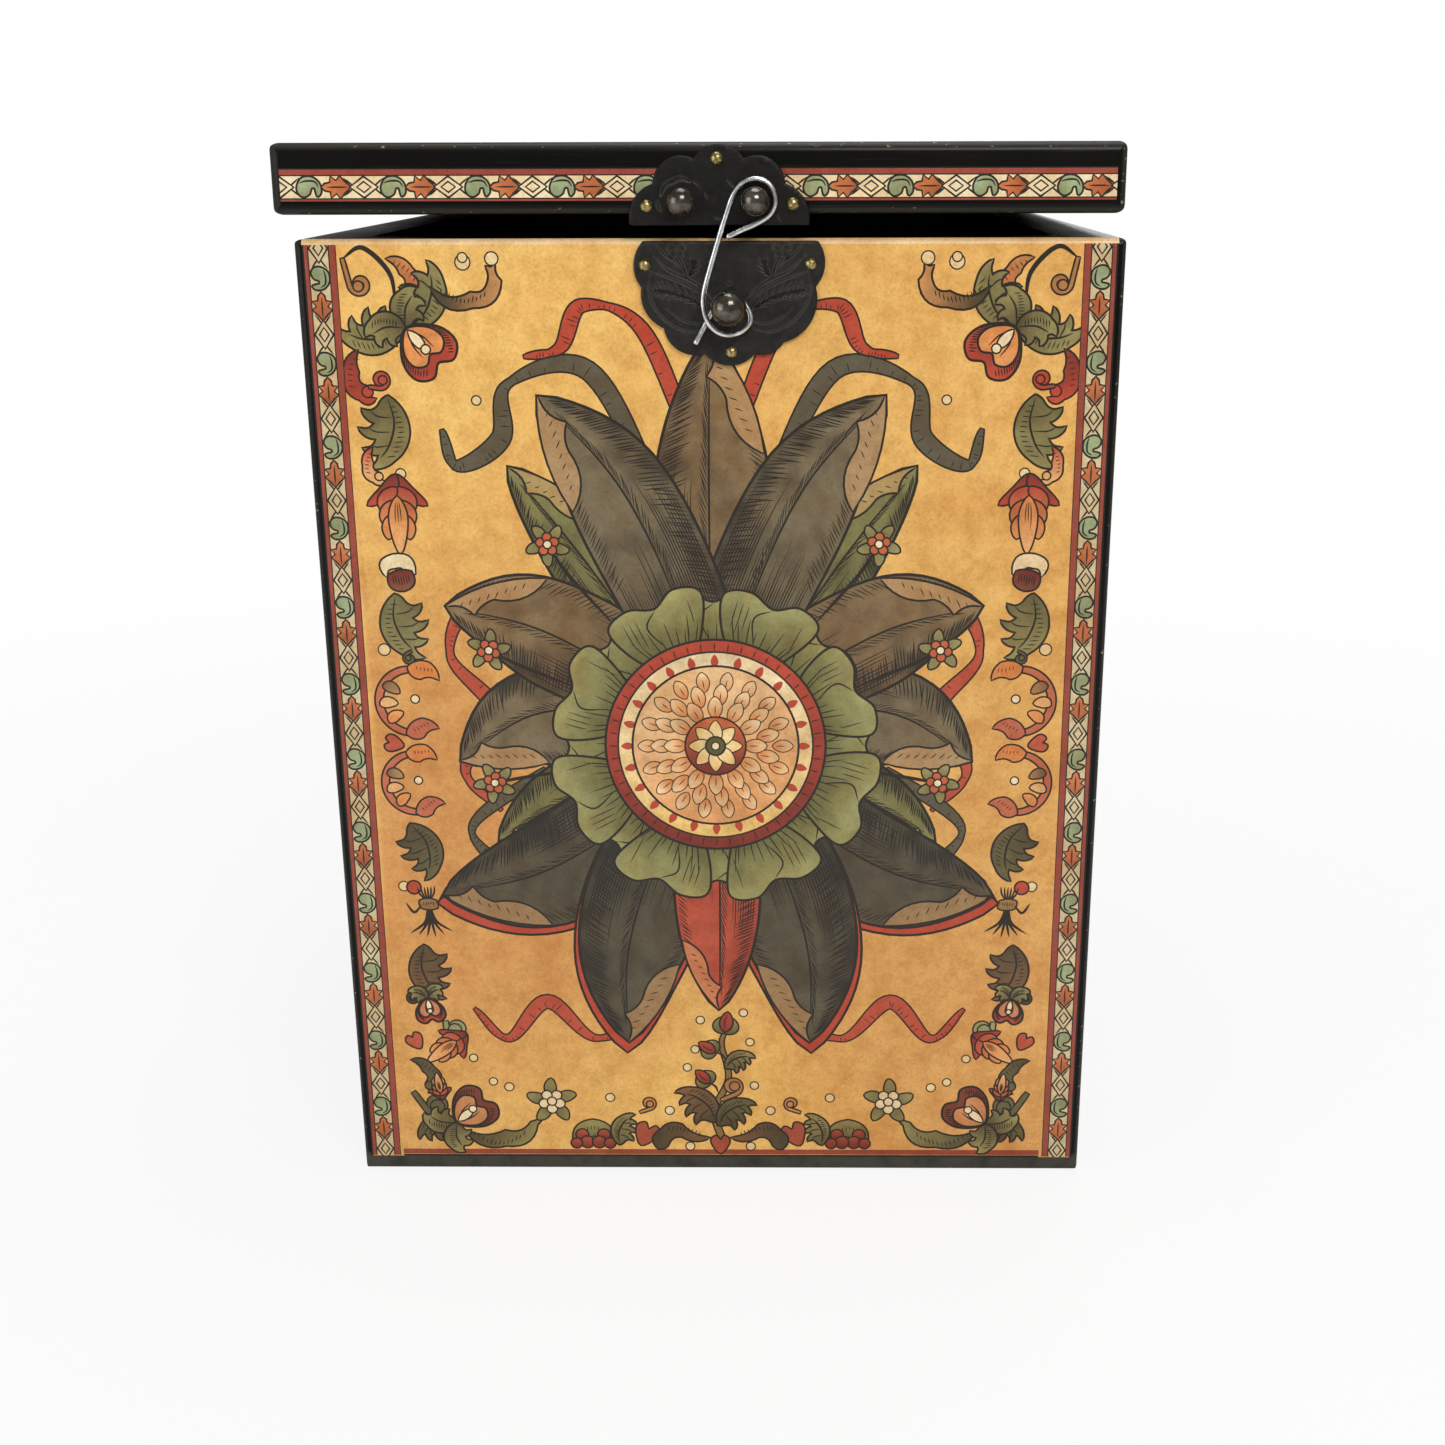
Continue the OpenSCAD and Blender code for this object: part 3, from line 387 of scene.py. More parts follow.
def berries(pen):
    """A low heap of round berries under a small arched leaf."""
    arch = [-4.6 + 0j, 0 + 6.4j, 4.8 + 0j, 2.4 + 1.2j, 0 + 2.2j, -2.4 + 1.2j]
    pen.inked(arcs(arch, [0.26, 0.26, -0.1, -0.1, 0.1, 0.1]), (0j, 6j, DUSK, LEAF), 0.36)
    comb(pen, -3.4 + 3.2j, 3.4 + 3.2j, -1.5j, 8, 0.2, 0.24)
    for x, z, r in ((2.6, 2.4, 1.35), (1.4, 0.4, 1.45), (4, 0.1, 1.2)):
        for at in (-x + 1j * z, x + 1j * z):
            pen.disc(at, r, (at + 1j, at - 1j, mix(RED, BARK, 0.3), BRICK), 0.34, 14)


def rings(pen, places, r=0.8):
    for p in places:
        pen.disc(p, r, mix(AMBER, CREAM, 0.6), 0.26, 14)


def side_border(pen):
    """The climbing border of the left side, in the paper's place, from the top down."""
    curl(pen.sub(-79.5 + 224j, -78), 1.1, 2.2, 1.3, mix(TAN, BARK, 0.4), 6)
    pen.stroke(curve([-79.5 + 224j, -75 + 226.3j, -69.5 + 221j, -68.5 + 214j], 8), 0.9)
    hook(pen.sub(-70 + 224j, -62, 1.15), (TAN, mix(RED, TAN, 0.4)))
    leaf(pen.sub(-66 + 209j, 62, 1.02, True))
    leaf(pen.sub(-67 + 209.5j, 190, 0.98))
    tail = pen.sub(-58 + 216j, -8)
    tail.inked(arcs([-3 + 1.6j, 6.5 - 1.4j, 12 + 5j, 10.4 + 8.6j, 8.6 + 7.6j, 9.4 + 4.4j, 5.8 + 1.6j],
        [-0.24, -0.24, 0.16, 0.3, 0.12, 0.24, 0.2]), (0j, 12 + 6j, UMBER, mix(TAN, PEACH, 0.3)), 0.4)
    comb(tail, -1.2 + 0.7j, 9.2 + 1.4j, 0.2 + 1.9j, 12, 0.24, -0.2)
    rings(tail, [9.6 + 9.4j], 1.3)
    pansy(pen.sub(-66.5 + 209j, -48, 0.92))
    rings(pen, [-53.5 + 223.2j], 1.5)
    rings(pen, [-53.5 + 224.2j, -52 + 193.5j], 0.9)
    hook(pen.sub(-77.5 + 204.5j, -78, 1.28, True))
    curl(pen.sub(-75.5 + 196.5j, -8, 0.9), 1.25, 2.1, 1.2, RED, 2.6)
    leaf(pen.sub(-71.5 + 194.5j, -98, 1.12))
    hook(pen.sub(-75.8 + 183j, -78, 0.9, True), (RED, PEACH))
    rings(pen, [-69.8 + 177.2j], 1.0)
    lily(pen.sub(-71 + 177j, -90, 1.24))
    acorn(pen.sub(-71.5 + 154.5j, -80, 0.95))
    leaf(pen.sub(-73 + 149.5j, -78, 1.08, True))
    rings(pen, [-76.2 + 136.4j], 1.25)
    curl(pen.sub(-70 + 136j, -150, 0.66), 1.1, 1.9, 1.0, DUSK, 2)
    bow_scroll(pen.sub(-78.6 + 124.5j, -4, 1.02))
    heart(pen.sub(-75.5 + 113.6j, 76), 2.0, mix(RED, ROSE, 0.4))
    bow_scroll(pen.sub(-78.4 + 103j, 6, 0.96))
    leaf(pen.sub(-72.8 + 93.5j, -70, 0.98), (UMBER, DUSK))
    rings(pen, [-75.4 + 77.5j], 1.1)
    pen.disc(-73 + 77.2j, 1.5, RED, 0.36)
    sheaf(pen.sub(-70 + 77j, -86, 1.05))
    leaf(pen.sub(-71.6 + 62j, -82, 1.0, True), (UMBER, BARK))
    curl(pen.sub(-75 + 49.5j, -140, 0.7), 1.1, 1.9, 1.0, UMBER, 1.6)
    pansy(pen.sub(-71.5 + 47.5j, -82, 0.5), (RED, ROSE))
    curl(pen.sub(-67.4 + 41.5j, -84), 1.15, 2.3, 2.0, mix(LEAF, MIST, 0.4), 2)
    heart(pen.sub(-75.2 + 36.2j, 30), 2.0, mix(RED, ROSE, 0.4))
    lily(pen.sub(-62.5 + 38.2j, -142, 0.86))
    hook(pen.sub(-76.6 + 31j, -62, 1.15), (UMBER, DUSK))
    rings(pen, [-61 + 31.5j, -56.4 + 25j], 0.9)


def foot_border(pen):
    """Half of the border along the foot, from the left corner to the middle."""
    curl(pen.sub(-76.5 + 22j, -58, 1.15), 1.25, 2.4, 1.9, DUSK, 5)
    leaf(pen.sub(-66 + 13.5j, 196, 0.72, True), (UMBER, DUSK))
    lily(pen.sub(-69.5 + 20j, 98, 0.5))
    scroll = pen.sub(-62 + 9.6j)
    scroll.inked(arcs([-2 + 1.6j, 8 - 2.6j, 16 + 3.4j, 18 + 8j, 14.6 + 4j, 8 + 1.6j],
        [-0.2, -0.24, -0.1, 0.2, 0.2, 0.14]),
        (0j, 16, UMBER, LEAF), 0.4)
    comb(scroll, -0.6 + 0.6j, 13 + 0.6j, 0.5 + 1.7j, 13, 0.24, -0.24)
    pansy(pen.sub(-66 + 13.6j, 42, 0.86), (mix(BRICK, BARK, 0.3), mix(ROSE, TAN, 0.5)))
    star_flower(pen.sub(-42 + 19.5j, 0, 0.98))
    berries(pen.sub(-32 + 7.6j, 0, 1.05))
    leaf(pen.sub(-25.5 + 7.4j, 74, 0.62))
    heart(pen.sub(-18.6 + 10.4j, -24), 3.0, mix(RED, BARK, 0.35))
    curl(pen.sub(-20 + 16.5j, 20, 0.8), 1.1, 2.0, 1.2, TAN, 3.6)
    scroll = pen.sub(-2.6 + 9.4j, 180, 1.0, True)
    scroll.inked(arcs([0j, 7 + 3.6j, 12.4 + 2j, 13 - 3.2j, 10.4 - 1.6j, 7 + 0.2j],
        [-0.12, 0.2, 0.3, 0.2, -0.2, 0.16]),
        (0j, 12, BARK, UMBER), 0.38)
    comb(scroll, 2 + 1.4j, 10.6 + 3.2j, 0.5 - 1.7j, 9, 0.24, 0.08)
    rings(pen, [-52.5 + 23.5j, -12.6 + 17j, -7.6 + 6.9j, -27.4 + 20.6j], 1.0)


def sprig(pen):
    """The upright sprig in the middle of the foot."""
    stem = curve([0.4 + 9j, -1.4 + 17j, 2.2 + 26j, 0.6 + 35j, 1.4 + 39j], 8)
    pen.inked(strap(stem, np.linspace(0.75, 0.35, len(stem))), mix(DUSK, TAN, 0.3), 0.32)
    leaf(pen.sub(-1 + 14j, 132, 0.86, True), (UMBER, BARK))
    leaf(pen.sub(-0.6 + 13j, 40, 0.74), (UMBER, DUSK))
    curl(pen.sub(0.4 + 20j, 24), 1.2, 2.3, 1.5, mix(TAN, BARK, 0.4), 4)
    leaf(pen.sub(1.4 + 29j, 30, 0.52))
    for at, turn, size in ((1.4 + 38.5j, 82, 0.42), (-0.4 + 22j, 128, 0.36), (1.6 + 31j, 140, 0.36)):
        bud = pen.sub(at, turn, size)
        if turn > 90:
            bud.stroke(curve([0j, 5 - 1.5j, 9 + 0j], 5), 0.5)
            bud = bud.sub(9, 6)
        for s in (1, -1):
            b = Blade([0, 4 + 4.6j * s, 10 + 2.2j * s], 2.6, power=0.7)
            bud.inked(b.outline, (0j, 10, DUSK, LEAF), 0.34)
        b = Blade([1, 7 + 0j, 13.4], 3.4, power=0.7)
        bud.inked(b.outline, (0j, 12, BRICK, RED), 0.36)
        bud.stroke(curve([2 + 0j, 7 + 1j, 12], 5), 0.26)
    heart(pen.sub(7.6j), 2.3, mix(RED, BARK, 0.3))
    rings(pen, [-6 + 34j, 7.6 + 36j, -8 + 29j, 8.6 + 24j, -4.6 + 42j, 6 + 44j], 0.9)


# ---- bands of lozenge, comma and leaf ----


def band_unit(pen, period, half, cream):
    """One repeat of the band, running along +x from a lozenge, half being its half height."""
    a = period * 0.155
    diamond = np.array([-a, -1j * half * 0.86, a, 1j * half * 0.86])
    for s in (1, -1):
        pen.stroke(np.linspace(a * s * 0.7, a * s * 1.55 + 1j * half * 0.86, 4), 0.34)
        pen.stroke(np.linspace(a * s * 0.7, a * s * 1.55 - 1j * half * 0.86, 4), 0.34)
    pen.inked(diamond, cream, 0.42)
    pen.inked(diamond * 0.46, cream, 0.36)
    x = period * 0.335
    h = half / 2.4
    drop = pen.sub(x, 0, h)
    body = loop([-2.3 + 0.3j, -1.2 + 1.9j, 0.9 + 2.1j, 2.5 + 0.9j, 2.9 - 0.9j, 2.2 - 1.9j, 1.9 - 1.2j,
        1.6 - 0.1j,
        0.7 - 0.2j, 0.2 - 1.4j, -1.1 - 2.0j, -2.2 - 1.2j], 4)
    drop.inked(body, (-2j, 2j, mix(MIST, MOSS, 0.3), MIST), 0.36)
    drop.stroke(curve([-2.0 + 0.9j, -0.3 + 1.35j, 1.6 + 1.2j, 2.5 - 0.1j], 5), 0.34)
    drop.stroke(curve([2.9 - 0.9j, 3.4 + 0.1j], 4), 0.36)
    x = period * 0.67
    leafy = pen.sub(x, 0, h)
    right = [3.3 + 0j, 1.9 + 1.1j, 0.9 + 2.3j, 0.1 + 1.2j, -1.1 + 2.2j, -1.2 + 0.9j, -2.5 + 0.6j]
    outline = right + [-3.2 + 0j] + [p.conjugate() for p in right[:0:-1]]
    leafy.inked(np.array(outline), (3 + 0j, -3 + 0j, mix(BRICK, ORANGE, 0.4), mix(ROSE, ORANGE, 0.5)), 0.36)
    leafy.stroke(np.linspace(2.8, -2.2, 5), 0.3)


def lines(pen, x0, x1, z0, z1, tone):
    pen.fill(np.array([x0 + 1j * z0, x1 + 1j * z0, x1 + 1j * z1, x0 + 1j * z1]), tone)


def side_band(pen, x, z0, z1, period, start):
    """The upright band between its red lines; x is the band's middle, towards -x is outside."""
    for a, b, tone in (
        (-3.3, 3.85, INK), (-3.15, -2.35, FADED_RED), (-2.1, 2.1, FADED_CREAM), (2.35, 3.65, FADED_RED),
    ):
        lines(pen, x + a, x + b, z0, z1, tone)
    z = start
    while z > z0 - period:
        unit = pen.sub(x + 1j * z, -90)
        band_unit(unit, period, 2.1, FADED_CREAM)
        z -= period


# ---- the bouquet in the middle ----
BOUQUET_AT = 113j


def shaded(pen, blade, base, tip, dark, side):
    """A tone for a blade, from base to tip, darker at its root, along one edge and in blotches."""

    def tone(p):
        q = pen.unmap(p)
        near = np.abs(q[:, None] - blade.rib).argmin(1)
        t = near / (len(blade.rib) - 1)
        off = ((q - blade.rib[near]) * np.conj(blade.side[near])).real
        s = np.clip(off / np.maximum(blade.left[near], 0.3), -1, 1) * side
        root = np.clip(1 - t / 0.5, 0, 1)
        shade = 0.55 * np.clip(s, 0, 1) ** 1.5 + 0.7 * root + 0.3 * wash(p) + 0.06
        return mix(mix(base, tip, t), dark, np.clip(shade, 0, 0.93))

    return tone


def upward_by(angle):
    """The direction that is angle degrees clockwise from straight up."""
    return cmath.exp(1j * math.radians(90 - angle))


def petal(pen, angle, length, width, bend, tones, edge=None, peak=0.5, hatch=9, side=1, wave=0.0):
    """A long petal from the pen's origin; angle is from straight up, bend turns its tip outwards."""
    steps = ((0.34, -0.35), (0.7, 0), (1, 0.45))  # share of the length, share of the bend
    points = [0j] + [share * length * upward_by(angle + bend * turn) for share, turn in steps]
    if edge:
        under = Blade([p * 1.02 - 1.3j for p in points], width * 1.06, width * 1.06, 0.72, peak)
        pen.inked(under.outline, edge, 0.5)
    b = Blade(points, width, width, 0.72, peak)
    t = np.linspace(0, 1, len(b.rib))
    b.left, b.right = b.left * (1 + wave * np.sin(9 * t)), b.right * (1 + wave * np.sin(8 * t + 2))
    b.outline = b.edge_line()
    pen.inked(b.outline, shaded(pen, b, *tones, side), 0.55)
    pen.stroke(b.at(np.linspace(0.3, 0.93, 16), 0.06 * side * np.ones(16)), 0.42)
    b.hatch(pen, 0.1, 0.52, -0.88, 0.88, hatch * 3, 0.28)
    b.hatch(pen, 0.3, 0.66, 0.35 * side, 0.92 * side, hatch, 0.24)
    b.rungs(pen, 0.3, 0.95, 0.98 * side, 0.38 * side, hatch * 6, 0.26)
    b.rungs(pen, 0.45, 0.95, -0.98 * side, -0.66 * side, hatch * 4, 0.22)
    b.rungs(pen, 0.4, 0.9, 0.08 * side, 0.26 * side, hatch * 3, 0.2, 0.05)
    fold = arcs([b.at(0.7, -0.99 * side), b.rib[-1], b.at(0.9, 0.12 * side), b.at(0.84, -0.45 * side)],
        [-0.08 * side, 0.16 * side, 0.1 * side, -0.16 * side])
    pen.inked(fold, tuple(mix(tones[1], PEACH, 0.35)), 0.4)
    slant = complex(b.at(0.9, 0.0) - b.at(0.88, -0.7 * side)) * 0.5
    comb(pen, complex(b.at(0.74, -0.9 * side)), complex(b.at(0.96, -0.4 * side)), slant, 8, 0.22)


def ribbon(pen, points, w, tone, rungs=40):
    rib = curve(points, 12)
    t = np.linspace(0, 1, len(rib))
    width = w * (0.35 + 0.65 * np.abs(np.sin(np.pi * (0.15 + 2.2 * t)))) * np.minimum(1, 6 * (1.03 - t))
    pen.inked(strap(rib, width / 2), tone, 0.34)
    side = normals(rib)
    for k in np.linspace(1, len(rib) - 3, rungs).astype(int):
        if pen.rng.random() < 0.75:
            a = rib[k] - side[k] * width[k] / 2
            pen.stroke(np.linspace(a, a + side[k] * width[k] * pen.rng.uniform(0.4, 0.9), 4), 0.2)


def ruffle(pen, r0, r1, count, tones):
    """A gathered collar of overlapping folds round the pen's origin."""
    for turn in (0, 1):
        for k in range(turn, count, 2):
            a = 360 * k / count
            out = r1 * (0.93 + 0.07 * math.sin(3.1 * k))
            fold = pen.sub(0j, a - 90)
            w = out * math.tan(math.pi / count) * 1.5
            top = [r0 * 1j - w * 0.35, out * 0.72j - w * 0.8, out * 0.93j - w * 1.05,
                out * 1.0j - w * 0.55, out * 0.95j,
                out * 1.02j + w * 0.5, out * 0.95j + w * 1.0, out * 0.75j + w * 0.75, r0 * 1j + w * 0.3]
            fold.inked(loop(top, 6), (r0 * 1.1j, out * 1j, *tones), 0.46)
            for s in (-0.62, -0.48, -0.3, -0.12, 0.05, 0.2, 0.34, 0.48, 0.6):
                start, end = r0 * 1j + s * w * 0.5, out * pen.rng.uniform(0.74, 0.86) * 1j + s * w * 1.2
                fold.stroke(curve([start, (start + end) / 2 + s * 0.6, end], 4), 0.24)
            for s in (-0.75, -0.62, -0.48, 0.7):
                a0 = out * 0.93j + s * w
                a1 = a0 - out * pen.rng.uniform(0.14, 0.22) * 1j - s
                fold.stroke(curve([a0, a0 - out * 0.1j - s * 0.5, a1], 4), 0.2)
            fold.stroke(curve([out * 0.95j, out * 0.86j - 0.3 * w, out * 0.7j - 0.1 * w], 5), 0.34)


def bouquet(pen):
    """Ribbons, long petals, a gathered collar and a rosette, from the back to the front."""
    mid = pen.sub(BOUQUET_AT)
    sides = [mid, mid.mirrored()]
    soot, char, drab = rgb(36, 35, 30), rgb(98, 92, 74), rgb(132, 120, 96)
    smoke = rgb(96, 90, 74)
    dark, grey = (char, drab, soot), (rgb(112, 96, 70), rgb(140, 118, 86), rgb(56, 46, 34))
    deep = (rgb(70, 67, 56), smoke, rgb(30, 30, 27))
    green = (rgb(94, 94, 56), rgb(140, 140, 92), rgb(44, 44, 28))
    for half in sides:
        ribbon(half, [12 + 60j, 27 + 87j, 45 + 84j, 47 + 72j, 57 + 66j, 60 + 74j], 4.0, smoke)
        ribbon(half, [4 + 70j, 15 + 96j, 28 + 101j, 33 + 92j, 41 + 90j], 3.2, RED)
        ribbon(half, [30 + 30j, 54 + 34j, 61 + 22j, 51 + 8j, 59 - 6j, 51 - 16j], 3.6, mix(RED, ROSE, 0.2))
        ribbon(half, [40 - 6j, 58 - 20j, 52 - 32j, 60 - 42j], 2.6, smoke)
        ribbon(half, [10 - 40j, 16 - 66j, 30 - 76j, 42 - 66j, 52 - 76j, 60 - 68j], 3.4, mix(RED, ROSE, 0.2))
        petal(half, 33, 80, 9, 4, green, side=-1)
        petal(half, 112, 57, 10, 6, green)
    for half in sides:
        petal(half, 80, 60, 12.5, 30, dark, wave=0.08)
        petal(half, 54, 70, 13, 16, grey, side=-1, wave=0.08)
    petal(mid, 0, 94, 13.5, 0, grey, hatch=11)
    for half in sides:
        petal(half, 19, 90, 12.5, 14, dark, wave=0.07, hatch=11)
        petal(half, 128, 76, 14, -18, deep, RED, wave=0.06)
    for half in sides:
        petal(half, 158, 80, 14, 13, deep, RED, hatch=11)
    petal(mid, 180, 68, 10, 0, (RED, mix(RED, ROSE, 0.4), BRICK))
    for half in sides:
        for a, r in ((38, 61), (66, 57), (100, 53)):
            p = r * upward_by(a)
            half.stroke(curve([p * 0.6, p * 0.85 + 1, p], 5), 0.7)
            star_flower(half.sub(p, -a, 0.78), mix(RED, ORANGE, 0.3))
    ruffle(mid, 22, 39.5, 16, (mix(MOSS, OLIVE, 0.5), mix(SAGE, LEAF, 0.4)))
    mid.inked(circle(25.5), (25j, -25j, RED, BRICK), 0.45)
    mid.inked(circle(22.6), (22j, -22j, CREAM, AMBER), 0.35)
    for k in range(48):
        a = cmath.exp(2j * math.pi * k / 48)
        mid.stroke(np.linspace(22.9 * a, 25.1 * a, 4), 0.26)
    for k in range(24):
        turn = 360 * k / 24
        b = Blade([19.2j, 20.6j, 22.2j], 0.9, power=0.7)
        mid.sub(0j, turn).fill(b.outline, RED)
    mid.inked(circle(19.2), (19j - 6, -19j + 6, mix(PEACH, CREAM, 0.35), mix(PEACH, ORANGE, 0.45)), 0.42)
    for ringed, (r, n, size) in enumerate(((15.8, 18, 1.1), (12.6, 15, 1.2), (9.4, 12, 1.25))):
        for k in range(n):
            a = 2 * math.pi * (k + 0.5 * ringed) / n
            p = r * cmath.exp(1j * a)
            bud = mid.sub(p, math.degrees(a))
            b = Blade([-2.2 * size, 0.2, 2.1 * size], 1.25 * size, power=0.65)
            bud.inked(b.outline, (-2, 2, mix(ORANGE, TAN, 0.3), mix(PEACH, CREAM, 0.5)), 0.2)
            bud.stroke(np.linspace(-1.8, 0.6, 4), 0.2)
    mid.inked(circle(6.9, 40), (5j, -5j, mix(RED, ORANGE, 0.35), BRICK), 0.36)
    for k in range(8):
        b = Blade([0.6, 3.4, 6.2], 1.5, power=0.7)
        mid.sub(0j, 45 * k).inked(b.outline, (0j, 6, CREAM, AMBER), 0.24)
    mid.disc(0j, 2.1, OLIVE, 0.34)
    mid.disc(0j, 0.8, CREAM, 0.24)


# ---- from drawn shapes to meshes ----


def winding(p, outline):
    """True for each point of p that the closed outline goes round."""
    p, a, b = p[:, None], outline, np.roll(outline, -1)
    left = (np.conj(b - a) * (p - a)).imag
    up = (a.imag <= p.imag) & (b.imag > p.imag) & (left > 0)
    down = (a.imag > p.imag) & (b.imag <= p.imag) & (left < 0)
    return (up.sum(1) - down.sum(1)) != 0


def inside(p, outline, chunk=4000):
    if not len(p):
        return np.zeros(0, bool)
    return np.concatenate([winding(p[i : i + chunk], outline) for i in range(0, len(p), chunk)])


def triangulate(outlines, extra):
    """Vertices and triangles of a plane cut along every outline."""
    points, edges = [], []
    for outline in outlines:
        n, k = len(outline), len(points)
        points.extend((z.real, z.imag) for z in outline)
        edges.extend((k + i, k + (i + 1) % n) for i in range(n))
    points.extend((z.real, z.imag) for z in extra)
    co, _, faces, *_ = delaunay_2d_cdt([Vector(p) for p in points], edges, [], 0, 1e-4, False)
    co = np.array([v.to_tuple() for v in co])
    return co[:, 0] + 1j * co[:, 1], np.array([f for f in faces if len(f) == 3])


def top_shapes(shapes, at):
    """The number of the last shape that covers each point, or -1."""
    order = np.argsort(at.real)
    sorted_at, top = at[order], np.full(len(at), -1)
    for k, (outline, _) in enumerate(shapes):
        lo, hi = np.searchsorted(sorted_at.real, (outline.real.min(), outline.real.max()))
        near = sorted_at[lo:hi]
        hit = np.flatnonzero((near.imag >= outline.imag.min()) & (near.imag <= outline.imag.max()))
        hit = hit[inside(near[hit], outline)]
        top[order[lo + hit]] = k
    return top


def tone_at(tone, p):
    if callable(tone):
        return tone(p)
    if len(tone) == 4:
        a, b, first, last = tone
        t = np.clip(((p - a) * np.conj(b - a)).real / abs(b - a) ** 2, 0, 1)
        return mix(first, last, t) * (1 + 0.13 * wash(p))[:, None]
    return np.broadcast_to(np.asarray(tone), (len(p), 3))


def add_object(name, data):
    obj = bpy.data.objects.new(name, data)
    bpy.context.scene.collection.objects.link(obj)
    return obj


def as_mesh(name, co, faces, material, smooth=False):
    mesh = bpy.data.meshes.new(name)
    mesh.from_pydata([tuple(v) for v in co], [], [tuple(f) for f in faces])
    mesh.materials.append(material)
    mesh.polygons.foreach_set("use_smooth", [smooth] * len(mesh.polygons))
    return add_object(name, mesh)


def compact(tri):
    """Leaves out the points that no triangle uses: which are kept, and the triangles in their numbers."""
    used, tri = np.unique(tri, return_inverse=True)
    return used, tri.reshape(-1, 3)


def paper(name, shapes, rect, step, place, material):
    """A thin sheet in the colours of shapes laid over each other; place puts x + iz in space."""
    x0, z0, x1, z1 = rect
    frame_line = np.array([x0 + 1j * z0, x1 + 1j * z0, x1 + 1j * z1, x0 + 1j * z1])
    xs, zs = np.arange(x0 + step / 2, x1, step), np.arange(z0 + step / 2, z1, step)
    lattice = [x + 1j * z for x in xs for z in zs]
    keep = [s for s in shapes if s[0].real.max() > x0 and s[0].real.min() < x1]
    co, tri = triangulate([frame_line] + [s[0] for s in keep], lattice)
    mid = co[tri].mean(1)
    ok = (mid.real > x0) & (mid.real < x1) & (mid.imag > z0) & (mid.imag < z1)
    tri, mid = tri[ok], mid[ok]
    top = top_shapes(keep, mid)
    colour = np.ones((len(tri), 3, 4), np.float32)
    for k in np.unique(top):
        rows = np.flatnonzero(top == k)
        colour[rows, :, :3] = tone_at(keep[k][1], co[tri[rows]].ravel()).reshape(-1, 3, 3)
    used, tri = compact(tri)
    obj = as_mesh(name, [Vector(place(z.real, z.imag)) * MM for z in co[used]], tri, material)
    inks = obj.data.color_attributes.new("ink", "FLOAT_COLOR", "CORNER")
    inks.data.foreach_set("color", colour.ravel())
    return obj


# ---- camera, light and floor ----
PHOTO_SIZE = 1445  # pixels
SENSOR = 36  # millimetres
FOCAL = 1825.9  # pixels, from the box's edges in the photograph
CENTRE_X = 772.35  # the column that the camera looks straight along
EYE = Vector((17.4, -496.2, 247.3)) * MM
PITCH, YAW, ROLL = (math.radians(a) for a in (17.562, -0.576, -0.151))
LAMPS = [  # name, place, what it looks at, width and height (metres), watts, tint
    ("key", (0.28, -0.85, 0.85), (0, 0, 0.12), (0.5, 0.35), 5.6, (1, 0.98, 0.95)),
    ("fill", (-0.75, -0.6, 0.35), (0, 0, 0.12), (0.6, 0.6), 2.7, (0.97, 0.98, 1)),
    ("top", (0.05, 0.1, 1.0), (0, 0, 0.2), (0.5, 0.5), 2.6, (1, 1, 1)),
    ("rear", (0.3, 0.9, 0.6), (0, 0, 0.15), (0.6, 0.4), 2.6, (1, 1, 1)),
]


def add_camera():
    data = bpy.data.cameras.new("photo_camera")
    data.sensor_width = SENSOR
    data.lens = SENSOR * FOCAL / PHOTO_SIZE
    data.shift_x = (PHOTO_SIZE / 2 - CENTRE_X) / PHOTO_SIZE
    data.clip_start = 0.02
    camera = add_object("photo_camera", data)
    turn = Matrix.Rotation(-YAW, 4, "Z") @ Matrix.Rotation(math.pi / 2 - PITCH, 4, "X")
    camera.matrix_world = Matrix.Translation(EYE) @ turn @ Matrix.Rotation(ROLL, 4, "Z")
    bpy.context.scene.camera = camera


def add_lamp(name, place, target, size, power, tint):
    data = bpy.data.lights.new(name, "AREA")
    data.shape, data.size, data.size_y = "RECTANGLE", *size
    data.energy, data.color = power, tint
    lamp = add_object(name, data)
    lamp.location = place
    lamp.rotation_euler = (Vector(target) - Vector(place)).to_track_quat("-Z", "Y").to_euler()


def add_studio():
    scene = bpy.context.scene
    scene.view_settings.view_transform = "Standard"
    world = bpy.data.worlds.new("pale_room")
    scene.world = world
    world.use_nodes = True
    tree = world.node_tree
    tree.nodes.clear()
    room, backdrop = (tree.nodes.new("ShaderNodeBackground") for _ in range(2))
    room.inputs["Color"].default_value = (1, 0.985, 0.96, 1)
    room.inputs["Strength"].default_value = 0.3
    backdrop.inputs["Color"].default_value = (1, 1, 1, 1)
    choose = tree.nodes.new("ShaderNodeMixShader")
    out = tree.nodes.new("ShaderNodeOutputWorld")
    tree.links.new(tree.nodes.new("ShaderNodeLightPath").outputs["Is Camera Ray"], choose.inputs[0])
    tree.links.new(room.outputs[0], choose.inputs[1])
    tree.links.new(backdrop.outputs[0], choose.inputs[2])
    tree.links.new(choose.outputs[0], out.inputs[0])
    add_floor()
    for lamp in LAMPS:
        add_lamp(*lamp)


